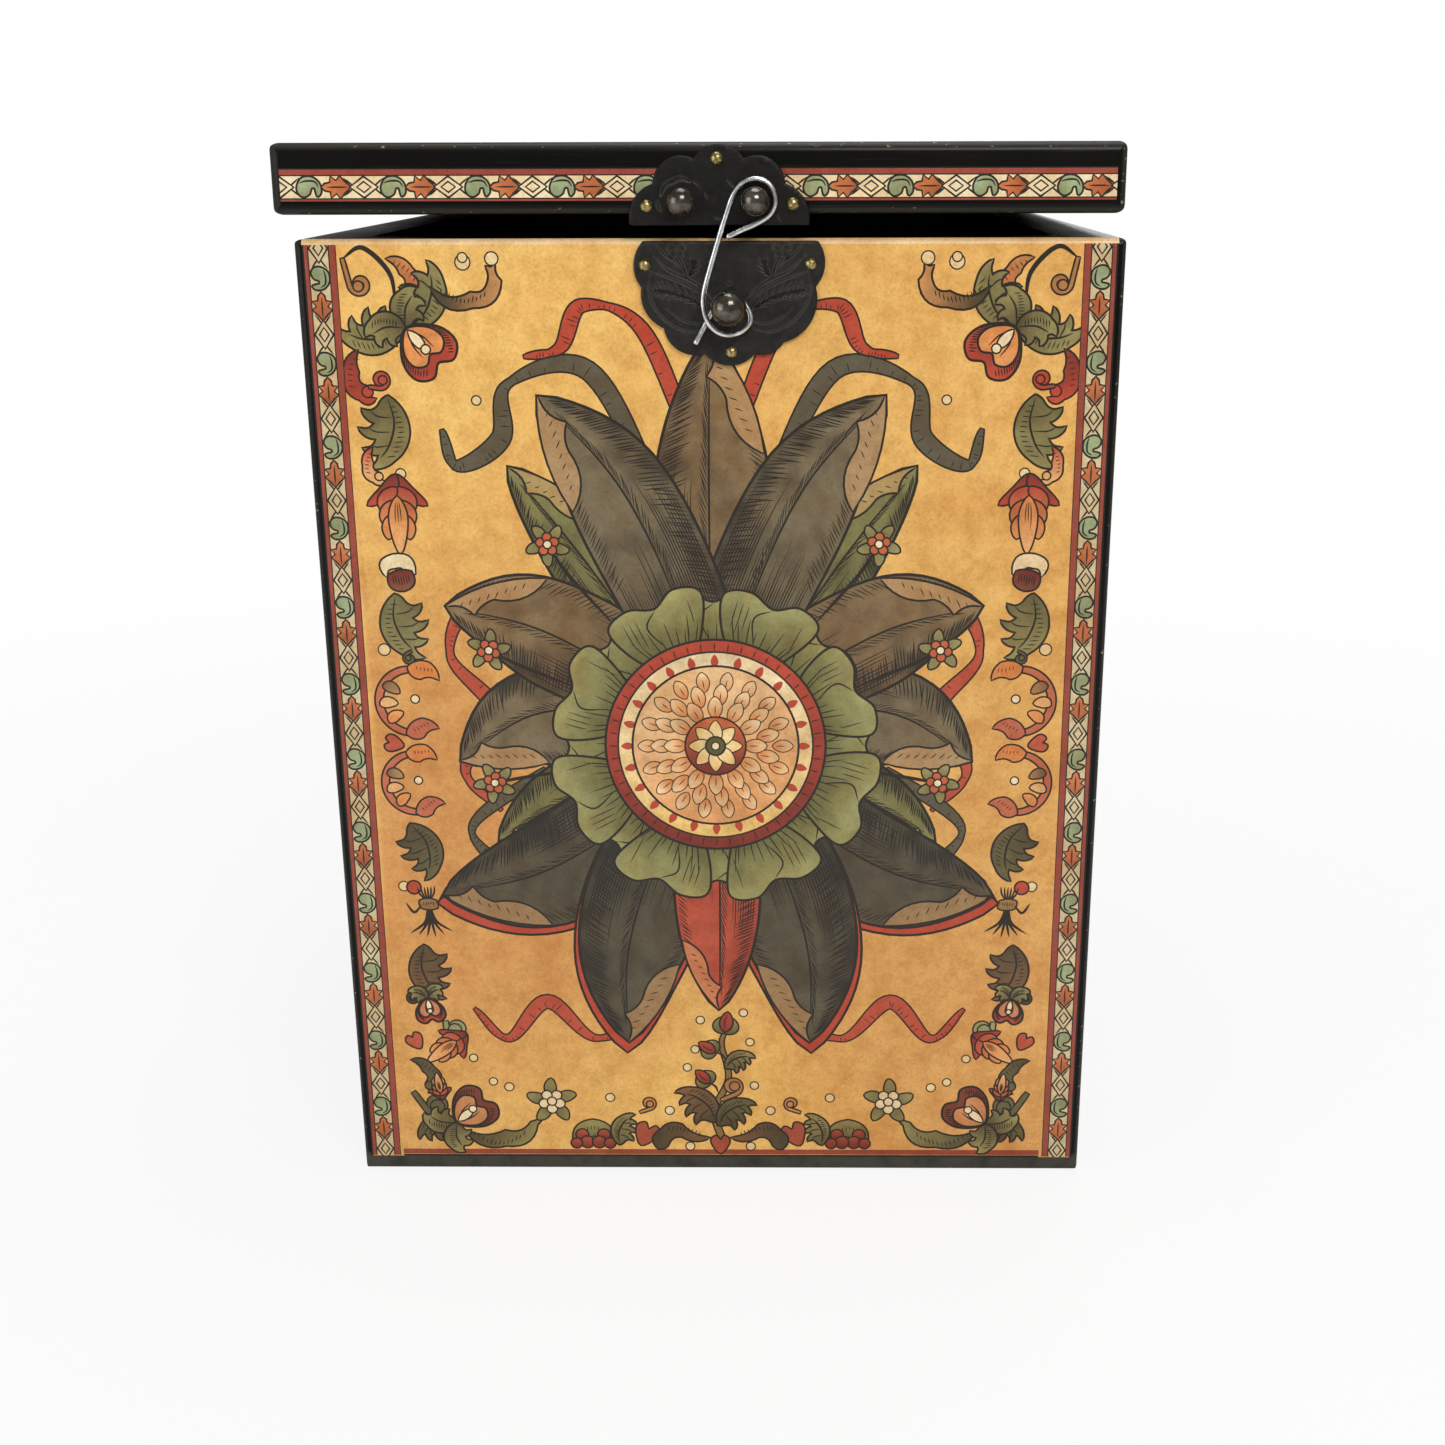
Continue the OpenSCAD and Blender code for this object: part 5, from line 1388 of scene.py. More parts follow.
def blued_iron(name, tone):
    """Dark patinated sheet iron: mottled, with rust-brown stains, rubbed edges, and engraved lines darkened
    inside with a painted highlight along their lips.
    """
    look = Look(name, Metallic=0.35, Specular_IOR_Level=0.35)
    colour = look.mix(look.step(look.noise(2.4, 5, 0.65), 0.35, 0.7), tone, tuple(0.45 * c for c in tone))
    rust = look.step(look.noise(3.4, 5, 0.6), 0.58, 0.76)
    colour = look.over(colour, rgb(62, 44, 32), rust, 0.4)
    rubbed = look.step(look.noise(1.3, 3), 0.42, 0.62)
    colour = look.over(colour, rgb(104, 100, 92), look.edges(0.3, 0.02, 0.22), rubbed)
    hollow, painted_lip_highlight, _ = look.node("SeparateColor", {0: look.attribute("cut")}).outputs
    colour = look.over(colour, rgb(6, 6, 5), hollow, 0.95)
    # painted highlight on the groove lips
    colour = look.over(colour, rgb(104, 101, 92), painted_lip_highlight, 0.24)
    rough = look.step(look.noise(1.8, 4), 0.3, 0.7, 0.4, 0.62)
    return look.set(Base_Color=colour, Roughness=rough, Normal=look.bump(look.noise(0.7, 4, 0.6), 0.05))


def add_plates():
    face, lid_face = paper_low.y - PLATE_T, LID_FRONT - PAPER_T - PLATE_T

    def on_box(x, z, d):
        return Vector((BOX_PLATE[0] + x, face + d, BOX_PLATE[1] + z))

    def on_lid(x, z, d):
        return SHUT_TO_AJAR @ Vector((LID_PLATE[0] + x, lid_face + d, LID_PLATE[1] + z))

    lobes = [(c * BOX_PLATE_R, r * BOX_PLATE_R) for c, r in BOX_LOBES] + [(0j, BOX_PLATE_R * 0.78)]
    outline = lobed_outline(lobes, -3j, high=BOX_PLATE_TOP)
    look = blued_iron("blued_iron", rgb(40, 39, 36))
    obj = plate("engraved_box_plate", outline, box_engraving(), on_box, look)
    finish_piece(obj, "box", "blued_iron", "box_lock_plate")
    top = LID_PLATE_R * (1 - LID_TOP_LOBE) * 1j
    lobes = [(0j, LID_PLATE_R * 0.72), (top, LID_PLATE_R * LID_TOP_LOBE)]
    for c, r in LID_LOBES:
        lobes += [(at * LID_PLATE_SIDE, r * LID_PLATE_SIDE) for at in (c, -c.conjugate())]
    outline = lobed_outline(lobes, 4j, low=0)
    look = blued_iron("blued_iron_lid", rgb(19, 18, 15))
    obj = plate("stamped_lid_plate", outline, lid_engraving(), on_lid, look)
    finish_piece(obj, "lid", "blued_iron", "lid_lock_plate")


# ---- latch wire ----
WIRE_BENDS = [  # as the solid: x and z from the box knob's axis, out from the box plate's face
    (-0.35, 3, 14.4), (2.6, 3, 15.8), (5.9, 3, 17.2), (8.8, 3, 19.1), (9.9, 3, 21.9), (8.8, 3, 25.1),
    (6, 3, 26.3), (3.1, 3, 25.4), (1, 3, 22.9), (-0.7, 2.95, 18.5), (-2.2, 2.9, 13.9), (-3.9, 2.85, 8.4),
    (-5.3, 2.85, 3.4), (-5.6, 2.9, 0.4), (-4.9, 2.95, -2.7), (-3.1, 2.8, -5.1), (-0.5, 2.4, -6.1),
    (2.3, 2, -5.5), (4.3, 1.65, -3.7), (4.4, 1.4, -1.6), (3.1, 1.2, 0.6), (1.3, 1.1, 2.1),
    (-0.7, 1, 2.3), (-2.4, 0.95, 1.1), (-4, 0.95, -1.7), (-5.6, 1.2, -4.6), (-7.5, 2.1, -8.1),
]
WIRE_D = 1.25
BOX_KNOB = (4.3, 214.1)


def add_wire():
    face = paper_low.y - PLATE_T - 0.1
    bends = [(BOX_KNOB[0] + x, face - out, BOX_KNOB[1] + z) for x, out, z in WIRE_BENDS]
    path = smooth_path(bends, 7)
    radii = np.full(len(path), WIRE_D / 2 - 0.02)
    radii[0] = radii[-1] = WIRE_D * 0.42
    look = metal("galvanised_wire", rgb(240, 241, 242), rgb(188, 190, 192), (0.17, 0.32), 2.4, depth=0.015)
    obj = grid("latch_wire_bent", rings_along(path, radii, 16, (0, 1, 0)), look, caps=True)
    finish_piece(obj, "latch_wire", "galvanised_wire", "latch_wire")


# ---- the figure ----
FIGURE_Y = -4.0
SEAT_TOP, PLUG_Z, PLUG_TOP = 18.0, 138.0, 146.0
SKULL_R, SKULL_Z = 32.0, 188.0
HOOD_R = 34.3
SKULL = Vector((0, FIGURE_Y, SKULL_Z))
JAW, JAW_R = Vector((0, -8, -14)), 20.0  # from the skull's centre
FLESH = rgb(232, 190, 150)
SAGE_CLOTH = rgb(158, 164, 112), rgb(100, 106, 66)  # lit threads, dark ones
TURNS, FLAT_TURNS, SPRING_WIRE = 9, 0.9, 2.2
COIL_FOOT, COIL_TOP, SPRING_RINGS = 32.0, 17.0, 400


def round_axis(r, a, z):
    """Points at radius r, angle a and height z round the figure's axis."""
    return np.stack([r * np.cos(a), r * np.sin(a) + FIGURE_Y, np.broadcast_to(z, np.shape(a))], -1)


def add_spring():
    turn = np.linspace(0, TURNS + 2 * FLAT_TURNS, SPRING_RINGS)
    up = np.clip((turn - FLAT_TURNS) / TURNS, 0, 1)
    r = COIL_FOOT + (COIL_TOP - COIL_FOOT) * up
    low, high = SEAT_TOP + SPRING_WIRE / 2, PLUG_Z - SPRING_WIRE / 2
    path = round_axis(r, 2 * np.pi * turn, low + (high - low) * up)
    look = metal("spring_steel", rgb(150, 152, 154), rgb(96, 92, 88), (0.25, 0.42), 3, depth=0.02)
    obj = grid("spring_wire_coil", rings_along(path, SPRING_WIRE / 2 - 0.03, 12), look, caps=True)
    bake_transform(obj)
    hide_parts("main_spring")


def cloth(name, colour, dark):
    """Woven cloth: crossed threads, soft mottling and a little sheen."""
    look = Look(name, Sheen_Weight=0.35, Sheen_Roughness=0.45, Specular_IOR_Level=0.2, Roughness=0.85)
    threads = look.weave(0.5)
    tone = look.mix(look.step(threads, 0.42, 0.7), dark, colour)
    tone = look.mix(look.step(look.noise(15, 4), 0.38, 0.72, 0, 0.4), tone, dark)
    return look.set(Base_Color=tone, Normal=look.bump(threads, 0.18))


def felt(name, colour, dark):
    """Pressed felt: a fibrous relief, soft mottling and a sheen."""
    look = Look(name, Sheen_Weight=0.5, Sheen_Roughness=0.5, Specular_IOR_Level=0.15, Roughness=0.95)
    fibres = look.noise(0.9, 6, 0.75)
    tone = look.mix(look.step(fibres, 0.36, 0.66), dark, colour)
    tone = look.mix(look.step(look.noise(11, 4), 0.4, 0.75, 0, 0.35), tone, dark)
    return look.set(Base_Color=tone, Normal=look.bump(fibres, 0.3))


def motley(name, across, tall):
    """Cloth woven in lozenges; the piece's "laid" colour says how far round and along a point is."""
    look = Look(name, Sheen_Weight=0.3, Sheen_Roughness=0.45, Specular_IOR_Level=0.2, Roughness=0.88)
    laid = look.axes(look.attribute("laid", "Vector"))
    around, along = look.math("MULTIPLY", laid[0], across), look.math("MULTIPLY", laid[1], tall)
    slants = [look.math("ADD", around, along), look.math("SUBTRACT", look.math("ADD", around, 64.0), along)]
    cells = [look.math("FLOOR", slant) for slant in slants]
    odd = look.math("MODULO", look.math("ADD", *cells), 2.0)
    third = look.math("MODULO", look.math("ADD", cells[0], look.math("MULTIPLY", cells[1], 2.0)), 4.0)
    tone = look.mix(odd, rgb(66, 62, 55), rgb(112, 112, 70))
    tone = look.mix(look.step(third, 0.4, 0.6, 1, 0), tone, rgb(140, 52, 42))
    ways = [look.math("ABSOLUTE", look.math("SUBTRACT", look.math("FRACT", slant),
        0.5)) for slant in slants]
    tone = look.mix(look.step(look.math("MAXIMUM", *ways), 0.462, 0.472), tone, rgb(206, 188, 144))
    threads = look.weave(0.6)
    tone = look.mix(look.step(threads, 0.42, 0.7, 0.45, 0), tone, rgb(28, 25, 21))
    tone = look.mix(look.step(look.noise(15, 4), 0.38, 0.72, 0, 0.3), tone, rgb(36, 32, 27))
    return look.set(Base_Color=tone, Normal=look.bump(threads, 0.18))


def lay_out(obj, rows):
    """Stores how far round and along each point of a grid is, both from 0 to 1."""
    rows = np.asarray(rows, float)
    steps = np.linalg.norm(np.diff(rows, axis=0), axis=2).mean(1)
    along = np.concatenate([[0], np.cumsum(steps)]) / steps.sum()
    turn = np.linspace(0, 1, rows.shape[1])
    u, v = np.meshgrid(turn, along)
    paint_points(obj, np.stack([u.ravel(), v.ravel(), 0 * u.ravel()], -1), "laid")


GOWN_ROWS, GOWN_SIDES = 190, 240
GOWN_HEM, GOWN_TOP, GOWN_FOLDS = 11.0, 145.0, 6
SHOULDER_Z, GOWN_R, SHOULDER_IN = 114.0, 50.0, 7.0
HEM_R, GOWN_NECK, FOLD_DEEP, FOLD_IN = 42.3, 23.3, 5.7, 11.5


def gown_radius(z):
    """The gown's outside at height z: the solid's outline, with its folds cut deeper inwards."""
    if z > SHOULDER_Z:
        slope = math.cos(math.pi / 2 * (z - SHOULDER_Z) / (GOWN_TOP - SHOULDER_Z))
        return GOWN_NECK + (GOWN_R - SHOULDER_IN - GOWN_NECK) * slope
    u = (z - GOWN_HEM) / (SHOULDER_Z - GOWN_HEM)
    crest = HEM_R + (GOWN_R - SHOULDER_IN - HEM_R) * u + FOLD_DEEP * (1 - 0.3 * u)
    fold = abs(math.sin(math.pi * GOWN_FOLDS * u)) ** 1.2
    top = min(1, (SHOULDER_Z - z) / 9)
    return crest - (FOLD_IN * top + FOLD_DEEP * 0.7 * (1 - top)) * (1 - fold)


def add_gown():
    """The pressed-down gown: a tube of cloth in sagging folds, gathered at the neck."""
    a = np.linspace(0, 2 * np.pi, GOWN_SIDES + 1)
    rows = []
    for z in np.linspace(GOWN_HEM + 0.4, GOWN_TOP, GOWN_ROWS):
        u = (z - GOWN_HEM) / (GOWN_TOP - GOWN_HEM)
        sag = 1.7 * np.sin(3 * a + 5 * u) + 0.9 * np.sin(7 * a - 9 * u + 1)
        sag = sag * np.clip(u * 6, 0, 1) * np.clip((1 - u) * 6, 0, 1)
        r = np.array([gown_radius(min(max(z + s, GOWN_HEM), GOWN_TOP)) for s in sag]) - 0.6
        gather = 1 + np.sin(20 * a + 1.6 * np.sin(3 * a) + 0.8 * np.sin(7 * u + 2 * a))
        r = r - (0.3 + 0.75 * u**3) * gather
        rows.append(round_axis(r, a, z))
    obj = grid("gown_folds", rows, motley("gown_cloth", 12, 7), around=False)
    lay_out(obj, rows)
    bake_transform(obj)
    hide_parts("gown")


RUFF_FLATS, RUFF_AREAS = [(0.111, 0.111), (0.092, 0.092)], [0.009, 0.006]  # metres, square metres
RUFF_R, RUFF_IN, PLEATS = 54.0, 13.3, 14
RUFF_ROWS, SIDES_PER_PLEAT = 30, 28


def ruff_layer(name, outer, lift, phase, material):
    """One gathered ring of the collar, as the solid's pleats with finer ripples on them."""
    a = round_turn(PLEATS * SIDES_PER_PLEAT)
    rows = []
    for s in np.linspace(0, 1, RUFF_ROWS):
        r = RUFF_IN + (outer - RUFF_IN) * s
        wave = np.sin(PLEATS * a + phase)
        ripple = 0.5 * s * np.sin(3 * PLEATS * a + 2 * phase) + 0.35 * s * np.sin(5 * a)
        z = PLUG_TOP + 1.6 + 4.4 * s * (1.6 - s) + (3.6 * wave + ripple) * s * s + lift
        swing = 0.035 * s * np.sin(2 * PLEATS * a + phase)
        rows.append(round_axis(r, a + swing, z))
    return grid(name, rows, material)


def add_ruff():
    sage = cloth("sage_cloth", *SAGE_CLOTH)
    lower = ruff_layer("ruff_lower", RUFF_R - 0.6, -0.5, 0.0, sage)
    upper = ruff_layer("ruff_upper", 44, 1.9, 0.25, sage)
    for obj, flat, area in zip((lower, upper), RUFF_FLATS, RUFF_AREAS):
        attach(obj, "jack")
    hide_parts("collar_ruff")


HORN_REACH, HORN_SIDES = 62.0, 48
# each bend: how far out as a share of the reach, how high, and its radius
SIDE_HORN = [(0.23, 20, 12.5), (0.48, 24, 10.5), (0.74, 20, 8.2), (0.92, 8, 6), (1, -6, 3.6)]
BACK_HORN = [(0.19, 21, 11.5), (0.42, 22, 9.8), (0.65, 16, 7.6), (0.81, 3, 5.2), (0.87, -10, 3.2)]


def add_horn(name, bends, turn, material, slot, node):
    """A stuffed felt horn with a seam along it, pulled in where it bends and closed in a soft tip."""
    knots = [(b[0] * HORN_REACH, b[2], b[1]) for b in bends]
    fine = smooth_path(knots, 12)
    tail = unit(fine[-1] - fine[-2])
    radii = fine[:, 1].copy()
    path = np.stack([fine[:, 0], np.zeros(len(fine)), fine[:, 2]], -1)
    caps = [(math.sin(t), math.cos(t)) for t in np.linspace(0.35, math.pi / 2 - 0.05, 6)]
    step = np.array([tail[0], 0, tail[2]])
    end, r_end = path[-1], radii[-1]
    path = np.vstack([path] + [end + step * r_end * 0.9 * s for s, _ in caps])
    radii = np.concatenate([radii, [r_end * c for _, c in caps]])
    rows = rings_along(path, radii - 0.4, HORN_SIDES, (0, 1, 0))
    u = np.linspace(0, 1, len(rows))[:, None]
    a = round_turn(HORN_SIDES)[None]
    seam = -0.9 * np.exp(-((np.minimum(abs(a - np.pi / 2), abs(a - 3 * np.pi / 2)) / 0.09) ** 2))
    pucker = 0.35 * np.sin(2 * a) * np.sin(26 * u + 2 * np.cos(a)) + 0.4 * np.sin(14 * u + 3 * np.sin(a))
    centre = path[:, None]
    out = rows - centre
    length = np.linalg.norm(out, axis=2, keepdims=True)
    swell_by = ((seam + pucker - 0.35) * np.clip((1 - u) * 8, 0, 1))[..., None]
    rows = centre + out * (1 + swell_by / np.maximum(length, 1e-6) * np.clip(length / 4, 0, 1))
    turned = Matrix.Translation(SKULL) @ Matrix.Rotation(math.radians(turn), 4, "Z")
    flat = rows.reshape(-1, 3)
    flat = np.array([(turned @ Vector(v))[:] for v in flat]).reshape(rows.shape)
    obj = grid(name, flat, material, caps=True)
    finish_piece(obj, "jack", slot, node)


def dab(x, z, wide, tall, x_power=2, z_power=2):
    """1 where x and z are 0, fading away within about wide and tall."""
    return math.exp(-((x / wide) ** x_power) - (z / tall) ** z_power)


def head_colour(p):
    """Paint on the bare head: flesh, blushed cheeks and painted shade in the eye sockets."""
    x, y, z = p
    in_front = y < 0
    blush = dab(abs(x) - 13, z + 8.5, 6.5, 5.5) * in_front
    # painted shade in the eye sockets
    shade = dab(abs(x) - 9.6, z - 2.6, 5.4, 3.0) * in_front
    return mix(mix(FLESH, rgb(214, 116, 88), 0.62 * blush), rgb(196, 140, 104), 0.4 * shade)


def lip_line(x):
    """Height of the parting of the lips from the skull's centre."""
    return -16.6 + 0.02 * x * x


def head_features(x, z):
    """How far the face stands out of the ball at (x, z) from the skull's centre, in millimetres."""
    aside, from_lips = abs(x), z - lip_line(x)
    brow = 0.9 * dab(aside - 9.5, z - 7.5, 7, 2.6)
    socket = -1.5 * dab(aside - 9.6, z - 2.4, 5.2, 3.4)
    cheek = 1.2 * dab(aside - 13, z + 9, 7, 6)
    chin = 1.1 * dab(x, z + 25.5, 6, 4.5)
    lips = 1.0 * dab(x, from_lips, 6.2, 1.9)
    parting = -0.8 * math.exp(-((x / 7) ** 2) * 1.2 - (from_lips / 0.45) ** 2)
    bridge = 0.8 * dab(x, z + 1, 3, 5)
    return brow + socket + cheek + chin + lips + parting + bridge


def head_reach(way):
    """Distance from the skull's centre to the surface of skull and jaw together, softly joined."""
    along = way.dot(JAW)
    under = JAW_R**2 - JAW.length_squared + along**2
    jaw_reach = along + math.sqrt(under) if under > 0 else 0
    k = 1.4  # how far the join is smoothed
    reach = k * math.log(math.exp(SKULL_R / k) + math.exp(jaw_reach / k))
    return reach - k * math.log(2) * math.exp(-(((SKULL_R - jaw_reach) / 6) ** 2))


def painted(name):
    """Satin oil paint in the colours of the mesh, with fine age cracks and brush marks."""
    look = Look(name, Coat_Weight=0.25, Coat_Roughness=0.2, Specular_IOR_Level=0.4)
    cloudy = look.mix(look.step(look.noise(6, 4), 0.3, 0.7), rgb(246, 234, 222), rgb(255, 255, 255))
    colour = look.mix(1.0, look.attribute("ink"), cloudy, "MULTIPLY")
    colour = look.over(colour, rgb(168, 120, 84), look.step(look.noise(1.2, 4, 0.6), 0.66, 0.76), 0.25)
    rough = look.step(look.noise(3, 4), 0.3, 0.7, 0.35, 0.5)
    return look.set(Base_Color=colour, Roughness=rough,
        Normal=look.bump(look.noise(0.8, 3, 0.6, (3, 3, 1)), 0.05))


def from_face(t, a):
    """A way out of the skull: t from straight ahead, a round it; rings round the face mesh it finely."""
    return Vector((math.sin(t) * math.cos(a), -math.cos(t), math.sin(t) * math.sin(a)))


HEAD_ROWS, HEAD_SIDES, NECK_SIDES = 170, 220, 48
NECK = [(0.05, 13), (6, 12.6), (14, 12.8), (24, 14)]  # height above the plug, radius


def add_head():
    paint = painted("painted_flesh")
    rows, colours = [], []
    for t in np.linspace(0.02, math.pi - 0.02, HEAD_ROWS):
        row = []
        for a in round_turn(HEAD_SIDES):
            way = from_face(t, a)
            reach = head_reach(way)
            p = way * reach
            if way.y < 0.1:
                fade = min(1, max(0, (0.1 - way.y) / 0.4))
                p = way * (reach + fade * head_features(p.x, p.z))
            row.append(tuple(p + SKULL))
            colours.append(face_paint(p))
        rows.append(row)
    obj = grid("doll_head", rows, paint, caps=True)
    paint_points(obj, np.array(colours))
    finish_piece(obj, "jack", "painted_flesh", "head")
    rows = [round_axis(r, round_turn(NECK_SIDES), PLUG_TOP + rise) for rise, r in NECK]
    neck = grid("doll_neck", rows, paint, caps=True)
    paint_points(neck, np.tile(rgb(226, 182, 142), (len(NECK) * NECK_SIDES, 1)))
    finish_piece(neck, "jack", "painted_flesh")


EYES = [(-9.6, 1.6), (9.6, 1.6)]  # places of the painted eyes, from the skull's centre
EYE_HALF_W, EYE_HALF_H, IRIS_R, PUPIL_R, GLINT_R = 4.0, 2.15, 1.95, 0.85, 0.42


def face_paint(p):
    """Paint on the head with lips, brows and eyes."""
    colour = head_colour(p)
    if p.y > -10:
        return colour
    x, z = p.x, p.z
    from_lips = z - lip_line(x)
    colour = mix(colour, rgb(186, 74, 60), 0.9 * dab(x, from_lips, 6.0, 1.35, 4, 4))
    colour = mix(colour, rgb(96, 34, 28), 0.85 * dab(x, from_lips, 7.0, 0.34, 4))
    brow = dab(abs(x) - 10, z - 9.4 + 0.05 * (abs(x) - 9.5) ** 2, 5.2, 0.75, 4)
    colour = mix(colour, rgb(84, 56, 38), 0.85 * brow)
    for eye_x, eye_z in EYES:
        dx, dz = x - eye_x, z - eye_z
        u, v = dx / EYE_HALF_W, dz / EYE_HALF_H
        past_lid = abs(v) - math.sqrt(max(0, 1 - min(1, abs(u)) ** 2.2))
        if abs(u) < 1 and past_lid < 0:
            gap = math.hypot(dx, dz)
            colour = rgb(236, 230, 216)
            if gap < IRIS_R:
                colour = np.asarray(rgb(96, 116, 84)) * (0.55 + 0.45 * min(1, gap / 1.6))
            if gap < PUPIL_R:
                colour = rgb(18, 14, 12)
            if math.hypot(dx + 0.55, dz - 0.65) < GLINT_R:
                colour = rgb(250, 248, 240)
        if abs(u) < 1.12 and abs(past_lid) < (0.2 if v > 0 else 0.09):
            colour = rgb(56, 36, 26)
    return colour


FACE_R, HOOD_LOW = 24, -24  # radius of the hood's opening, height of its hem from the skull's centre
HOOD_ROWS, HOOD_SIDES = 70, 160
ROLL_R, ROLL_SIDES, ROLL_RINGS, ROLL_TWISTS = 2.6, 28, 240, 26


def add_hood():
    """A felt hood round the face with a sewn seam over the crown, and its striped roll."""
    rows = []
    face_a = math.asin(FACE_R / HOOD_R)
    for t in np.linspace(face_a, math.pi - 0.02, HOOD_ROWS):
        row = []
        for a in round_turn(HOOD_SIDES):
            way = from_face(t, a)
            seam = -0.7 * math.exp(-((way.x / 0.025) ** 2)) * (way.z > 0)
            fold = 0.3 * math.sin(9 * t + 3 * math.cos(a)) * math.sin(t)
            p = way * (HOOD_R - 0.3 + seam + fold * 0.6)
            front = min(1, max(0, (-p.y - 12) / 12))
            p.z = max(p.z, HOOD_LOW + 4.5 * front)
            row.append(tuple(p + SKULL))
        rows.append(row)
    obj = grid("felt_hood", rows, felt("dark_felt", rgb(88, 82, 70), rgb(48, 45, 38)))
    finish_piece(obj, "jack", "dark_felt", "hood")


def striped_felt():
    """Felt in the colours of the mesh."""
    look = Look("red_felt", Sheen_Weight=0.4, Sheen_Roughness=0.5, Specular_IOR_Level=0.15, Roughness=0.92)
    fibres = look.noise(0.7, 6, 0.75)
    tone = look.mix(look.step(fibres, 0.3, 0.7, 0.0, 0.35), look.attribute("ink"), rgb(96, 44, 34))
    return look.set(Base_Color=tone, Normal=look.bump(fibres, 0.25))


def add_roll():
    """The padded roll round the face: sewn in short twisted pillows, red with cream between."""
    ring = FACE_R + ROLL_R * 0.6
    seat = math.sqrt((HOOD_R + 0.1 + ROLL_R) ** 2 - ring**2)
    start = math.asin(HOOD_LOW * 0.86 / ring)
    rows, colours = [], []
    for s in np.linspace(0, 1, ROLL_RINGS):
        around = start + (math.pi - 2 * start) * s
        way = Vector((math.cos(around), 0, math.sin(around)))
        centre = SKULL + Vector((0, -seat, 0)) + way * ring
        row = []
        for b in round_turn(ROLL_SIDES):
            twist = ROLL_TWISTS * 2 * math.pi * s + b
            r = (ROLL_R - 0.12) * (1 - 0.1 * (0.5 + 0.5 * math.cos(twist)) ** 6)
            r *= min(1, math.sqrt(min(s, 1 - s) * 60 + 0.08))
            row.append(tuple(centre + (way * math.cos(b) + Vector((0, 1, 0)) * math.sin(b)) * r))
            cream = math.sin(twist) > 0.35
            colours.append(rgb(226, 204, 156) if cream else rgb(168, 58, 44))
        rows.append(row)
    obj = grid("striped_roll", rows, striped_felt(), caps=True)
    paint_points(obj, np.array(colours))
    finish_piece(obj, "jack", "red_felt", "hood_band")


ARM = [(47.5, -2, -9), (53, -8, -22), (59, -15, -36)]
ARM_RADII = [8.0, 8.6, 9.4]
WRIST_BALL_R, WRIST_R = 9.7, 6.2  # the sleeve's round end, and where the wrist leaves it
FINGERS = (6.4, 7.6, 7.4, 5.6)  # lengths


def add_arm(side, sleeve_cloth):
    """A stuffed sleeve, creased across and gathered into the wrist, with its frill and hand."""
    name = "left" if side < 0 else "right"
    base = np.array([0, FIGURE_Y, PLUG_Z])
    flip = np.array([side, 1, 1])
    path = smooth_path(ARM, 16)
    u = np.linspace(0, 1, len(path))
    way = unit(np.subtract(ARM[2], ARM[1]))
    first = unit(path[1] - path[0])
    domes = np.sin(np.linspace(0.25, 1.17, 8))
    shoulder = [path[0] - first * ARM_RADII[0] * s for s in domes[::-1]]
    wrist_end = [path[-1] + way * ARM_RADII[2] * s for s in domes]
    dome = np.sqrt(1 - domes**2)
    between = np.interp(u, [0, 0.5, 1], ARM_RADII)
    radii = np.concatenate([ARM_RADII[0] * dome[::-1], between, ARM_RADII[2] * dome])
    path = np.vstack([shoulder, path, wrist_end])
    count = 73
    a = np.linspace(0, 2 * np.pi, count)[None]
    rows = rings_along(path, radii - 0.3, count - 1, (0, 1, 0))
    rows = np.concatenate([rows, rows[:, :1]], 1)
    v = np.linspace(0, 1, len(rows))[:, None]
    crease = 0.5 * np.sin(26 * v + 2.2 * np.sin(a + side)) + 0.35 * np.sin(5 * a + 6 * v) - 0.5
    gather = -0.6 * (1 + np.sin(14 * a)) * np.clip(v * 4 - 3, 0, 1)
    centre = path[:, None]
    out = rows - centre
    r = radii[:, None]
    relief = (np.minimum(crease + gather, 0.25) / r) * np.minimum(r / 6, 1)
    rows = centre + out * (1 + relief)[..., None]
    rows = base + rows * flip
    obj = grid("sleeve_" + name + "_cloth", rows, sleeve_cloth, around=False, caps=True)
    lay_out(obj, rows)
    finish_piece(obj, "jack", "gown_cloth", "sleeve_" + name)
    wrist = np.array(ARM[2]) + way * (math.sqrt(WRIST_BALL_R**2 - WRIST_R**2) + 1.2)
    add_frill(name, base, flip, wrist, way)
    add_hand(name, base, flip, wrist, way)


FRILL_OUT, FRILL_IN, FRILL_PLEATS = 10.4, 4.4, 11


def add_frill(name, base, flip, wrist, way):
    """The gathered frill round a wrist."""
    side = unit(np.cross(way, (0, 1, 0)))
    up = np.cross(way, side)
    a = round_turn(FRILL_PLEATS * 20)[:, None]
    rows = []
    for s in np.linspace(0, 1, 14):
        r = FRILL_IN + (FRILL_OUT - FRILL_IN) * s
        lean = (1.5 * s * np.sin(FRILL_PLEATS * a) + 0.3 * s * np.sin(3 * a + 1)) * way
        rows.append(base + (wrist + r * (np.cos(a) * side + np.sin(a) * up) + lean - 0.4 * way) * flip)
    obj = grid("frill_" + name, rows, cloth("frill_cloth_" + name, *SAGE_CLOTH))
    finish_piece(obj, "jack", "sage_cloth", "cuff_" + name)


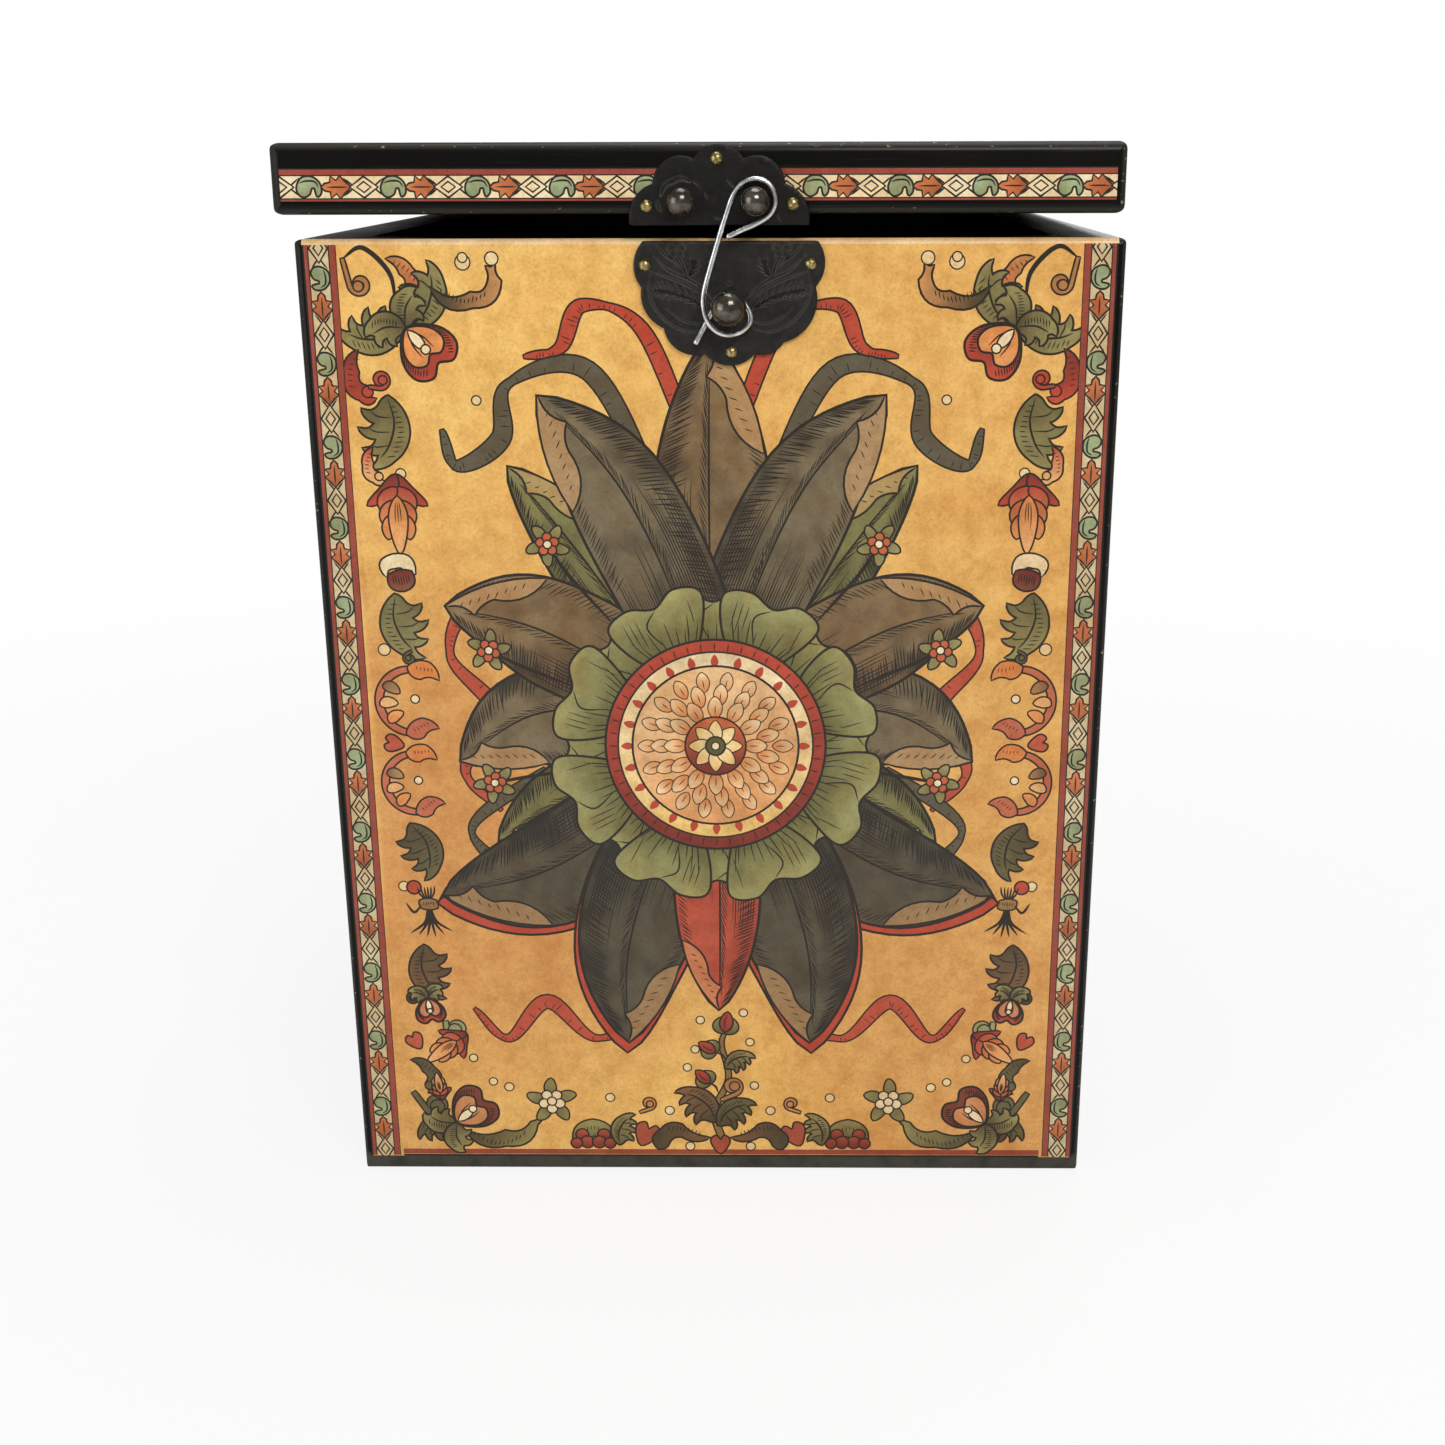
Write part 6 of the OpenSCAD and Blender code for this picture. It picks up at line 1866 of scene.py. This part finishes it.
def add_hand(name, base, flip, wrist, way):
    """A carved hand: palm, four slightly bent fingers and a thumb, run together and smoothed."""
    palm = wrist + 3 * way
    thumb = palm + np.array([-4.8, -4.5, -3])
    across = unit(np.cross(way, (0.2, -1, 0.3)))
    inward = np.cross(across, way)
    balls = [(palm - t * way, 4.0) for t in (1.5, 3.5)]
    for s in np.linspace(-1, 1, 7):
        for t in (-1, 1, 3):
            balls.append((palm + 2.9 * s * across + (t - 0.5 * s * s) * way, 2.3))
    for k, length in enumerate(FINGERS):
        root = palm + across * (k - 1.5) * 2.45 + 3.6 * way
        for t in np.linspace(0, 1, 9):
            bend = 1.6 * t * t * inward
            balls.append((root + (way + across * 0.05 * (k - 1.5)) * length * t + bend, 1.35 - 0.2 * t))
    for t in np.linspace(0, 1, 8):
        balls.append((palm + (thumb - palm) * (0.3 + 0.85 * t), 1.9 - 0.35 * t))
    work = bmesh.new()
    for centre, r in balls:
        place = Matrix.Translation(Vector(base + centre * flip) * MM)
        bmesh.ops.create_uvsphere(work, u_segments=14, v_segments=9, radius=r * MM, matrix=place)
    mesh = bpy.data.meshes.new("hand_balls")
    work.to_mesh(mesh)
    work.free()
    rough = add_object("hand_rough_" + name, mesh)
    skin = rough.modifiers.new("skin", "REMESH")
    skin.mode, skin.voxel_size = "VOXEL", 0.35 * MM
    soft = rough.modifiers.new("soft", "SMOOTH")
    soft.factor, soft.iterations = 0.5, 5
    bpy.context.view_layer.update()
    mesh = bpy.data.meshes.new_from_object(rough.evaluated_get(bpy.context.evaluated_depsgraph_get()))
    bpy.data.objects.remove(rough)
    hand = add_object("hand_" + name + "_doll", mesh)
    mesh.materials.clear()
    mesh.materials.append(painted("painted_hand_" + name))
    mesh.polygons.foreach_set("use_smooth", [True] * len(mesh.polygons))
    co = np.array([v.co[:] for v in mesh.vertices]) / MM
    far = ((co - base) * flip - palm) @ way
    tips = np.clip((far - 7) / 6, 0, 1)
    paint_points(hand, mix(FLESH, rgb(220, 150, 116), tips))
    finish_piece(hand, "jack", "painted_flesh", "hand_" + name)


def add_figure():
    add_spring()
    add_gown()
    add_ruff()
    dark = felt("dark_felt_horn", rgb(74, 69, 58), rgb(40, 37, 31))
    olive = felt("olive_felt_horn", rgb(112, 112, 72), rgb(68, 68, 42))
    add_horn("felt_horn_left", SIDE_HORN, 180, dark, "dark_felt", "horn_left")
    add_horn("felt_horn_right", SIDE_HORN, 0, olive, "olive_felt", "horn_right")
    add_horn("felt_horn_back", BACK_HORN, 90, dark, "dark_felt", "horn_back")
    add_head()
    add_hood()
    add_roll()
    sleeve_cloth = motley("sleeve_cloth", 4, 3)
    for side in (-1, 1):
        add_arm(side, sleeve_cloth)


# ---- finishes of the solids that stay as they are ----
def dress_joinery():
    dress(["front_panel", "back_panel", "left_panel", "right_panel", "lid_board"], lacquer())
    dress(["bottom_board"], wood("bare_board", rgb(150, 116, 80), rgb(96, 66, 42)))
    beech = wood("turned_wood", rgb(206, 168, 116), rgb(158, 112, 66), 1.3, (14, 1, 1))
    dress(["spring_seat", "neck_plug"], beech)


def dress_metalwork():
    bronze = metal("bronzed_knob", rgb(110, 106, 97), rgb(66, 60, 52), (0.13, 0.24), 3.2, None, 0.012, 0.85)
    dress(["box_knob", "lid_knob_left", "lid_knob_right"], bronze)
    nails = metal("nail_brass", rgb(196, 180, 122), rgb(98, 84, 52), (0.24, 0.42), 0.8,
        rgb(228, 214, 160), 0.04)
    dress(["box_plate_nails", "lid_plate_nails"], nails)
    brass = metal("hinge_brass", rgb(178, 140, 78), rgb(110, 82, 44), (0.3, 0.48), 4, rgb(222, 192, 130))
    dress([f"hinge_{part}_{side}" for part in ("box_leaf", "lid_leaf", "pin") for side in ("left",
        "right")], brass)
    dress(["hinge_box_screws", "hinge_lid_screws"], brass)
    steel = metal("steel_fixings", rgb(190, 190, 188), rgb(124, 122, 118), (0.28, 0.42), 2)
    dress(["seat_screws", "neck_screw", "seat_staples", "plug_staples"], steel)
    bells = metal("bell_brass", rgb(206, 170, 96), rgb(140, 106, 56), (0.2, 0.36), 3, rgb(232, 206, 150))
    dress(["bells"], bells)
    dress(["nose"], metal("painted_nose", rgb(196, 84, 62), rgb(164, 60, 46), (0.3, 0.4), 3, metallic=0.0))


add_camera()
add_studio()
add_papers()
add_plates()
add_wire()
add_figure()
dress_joinery()
dress_metalwork()
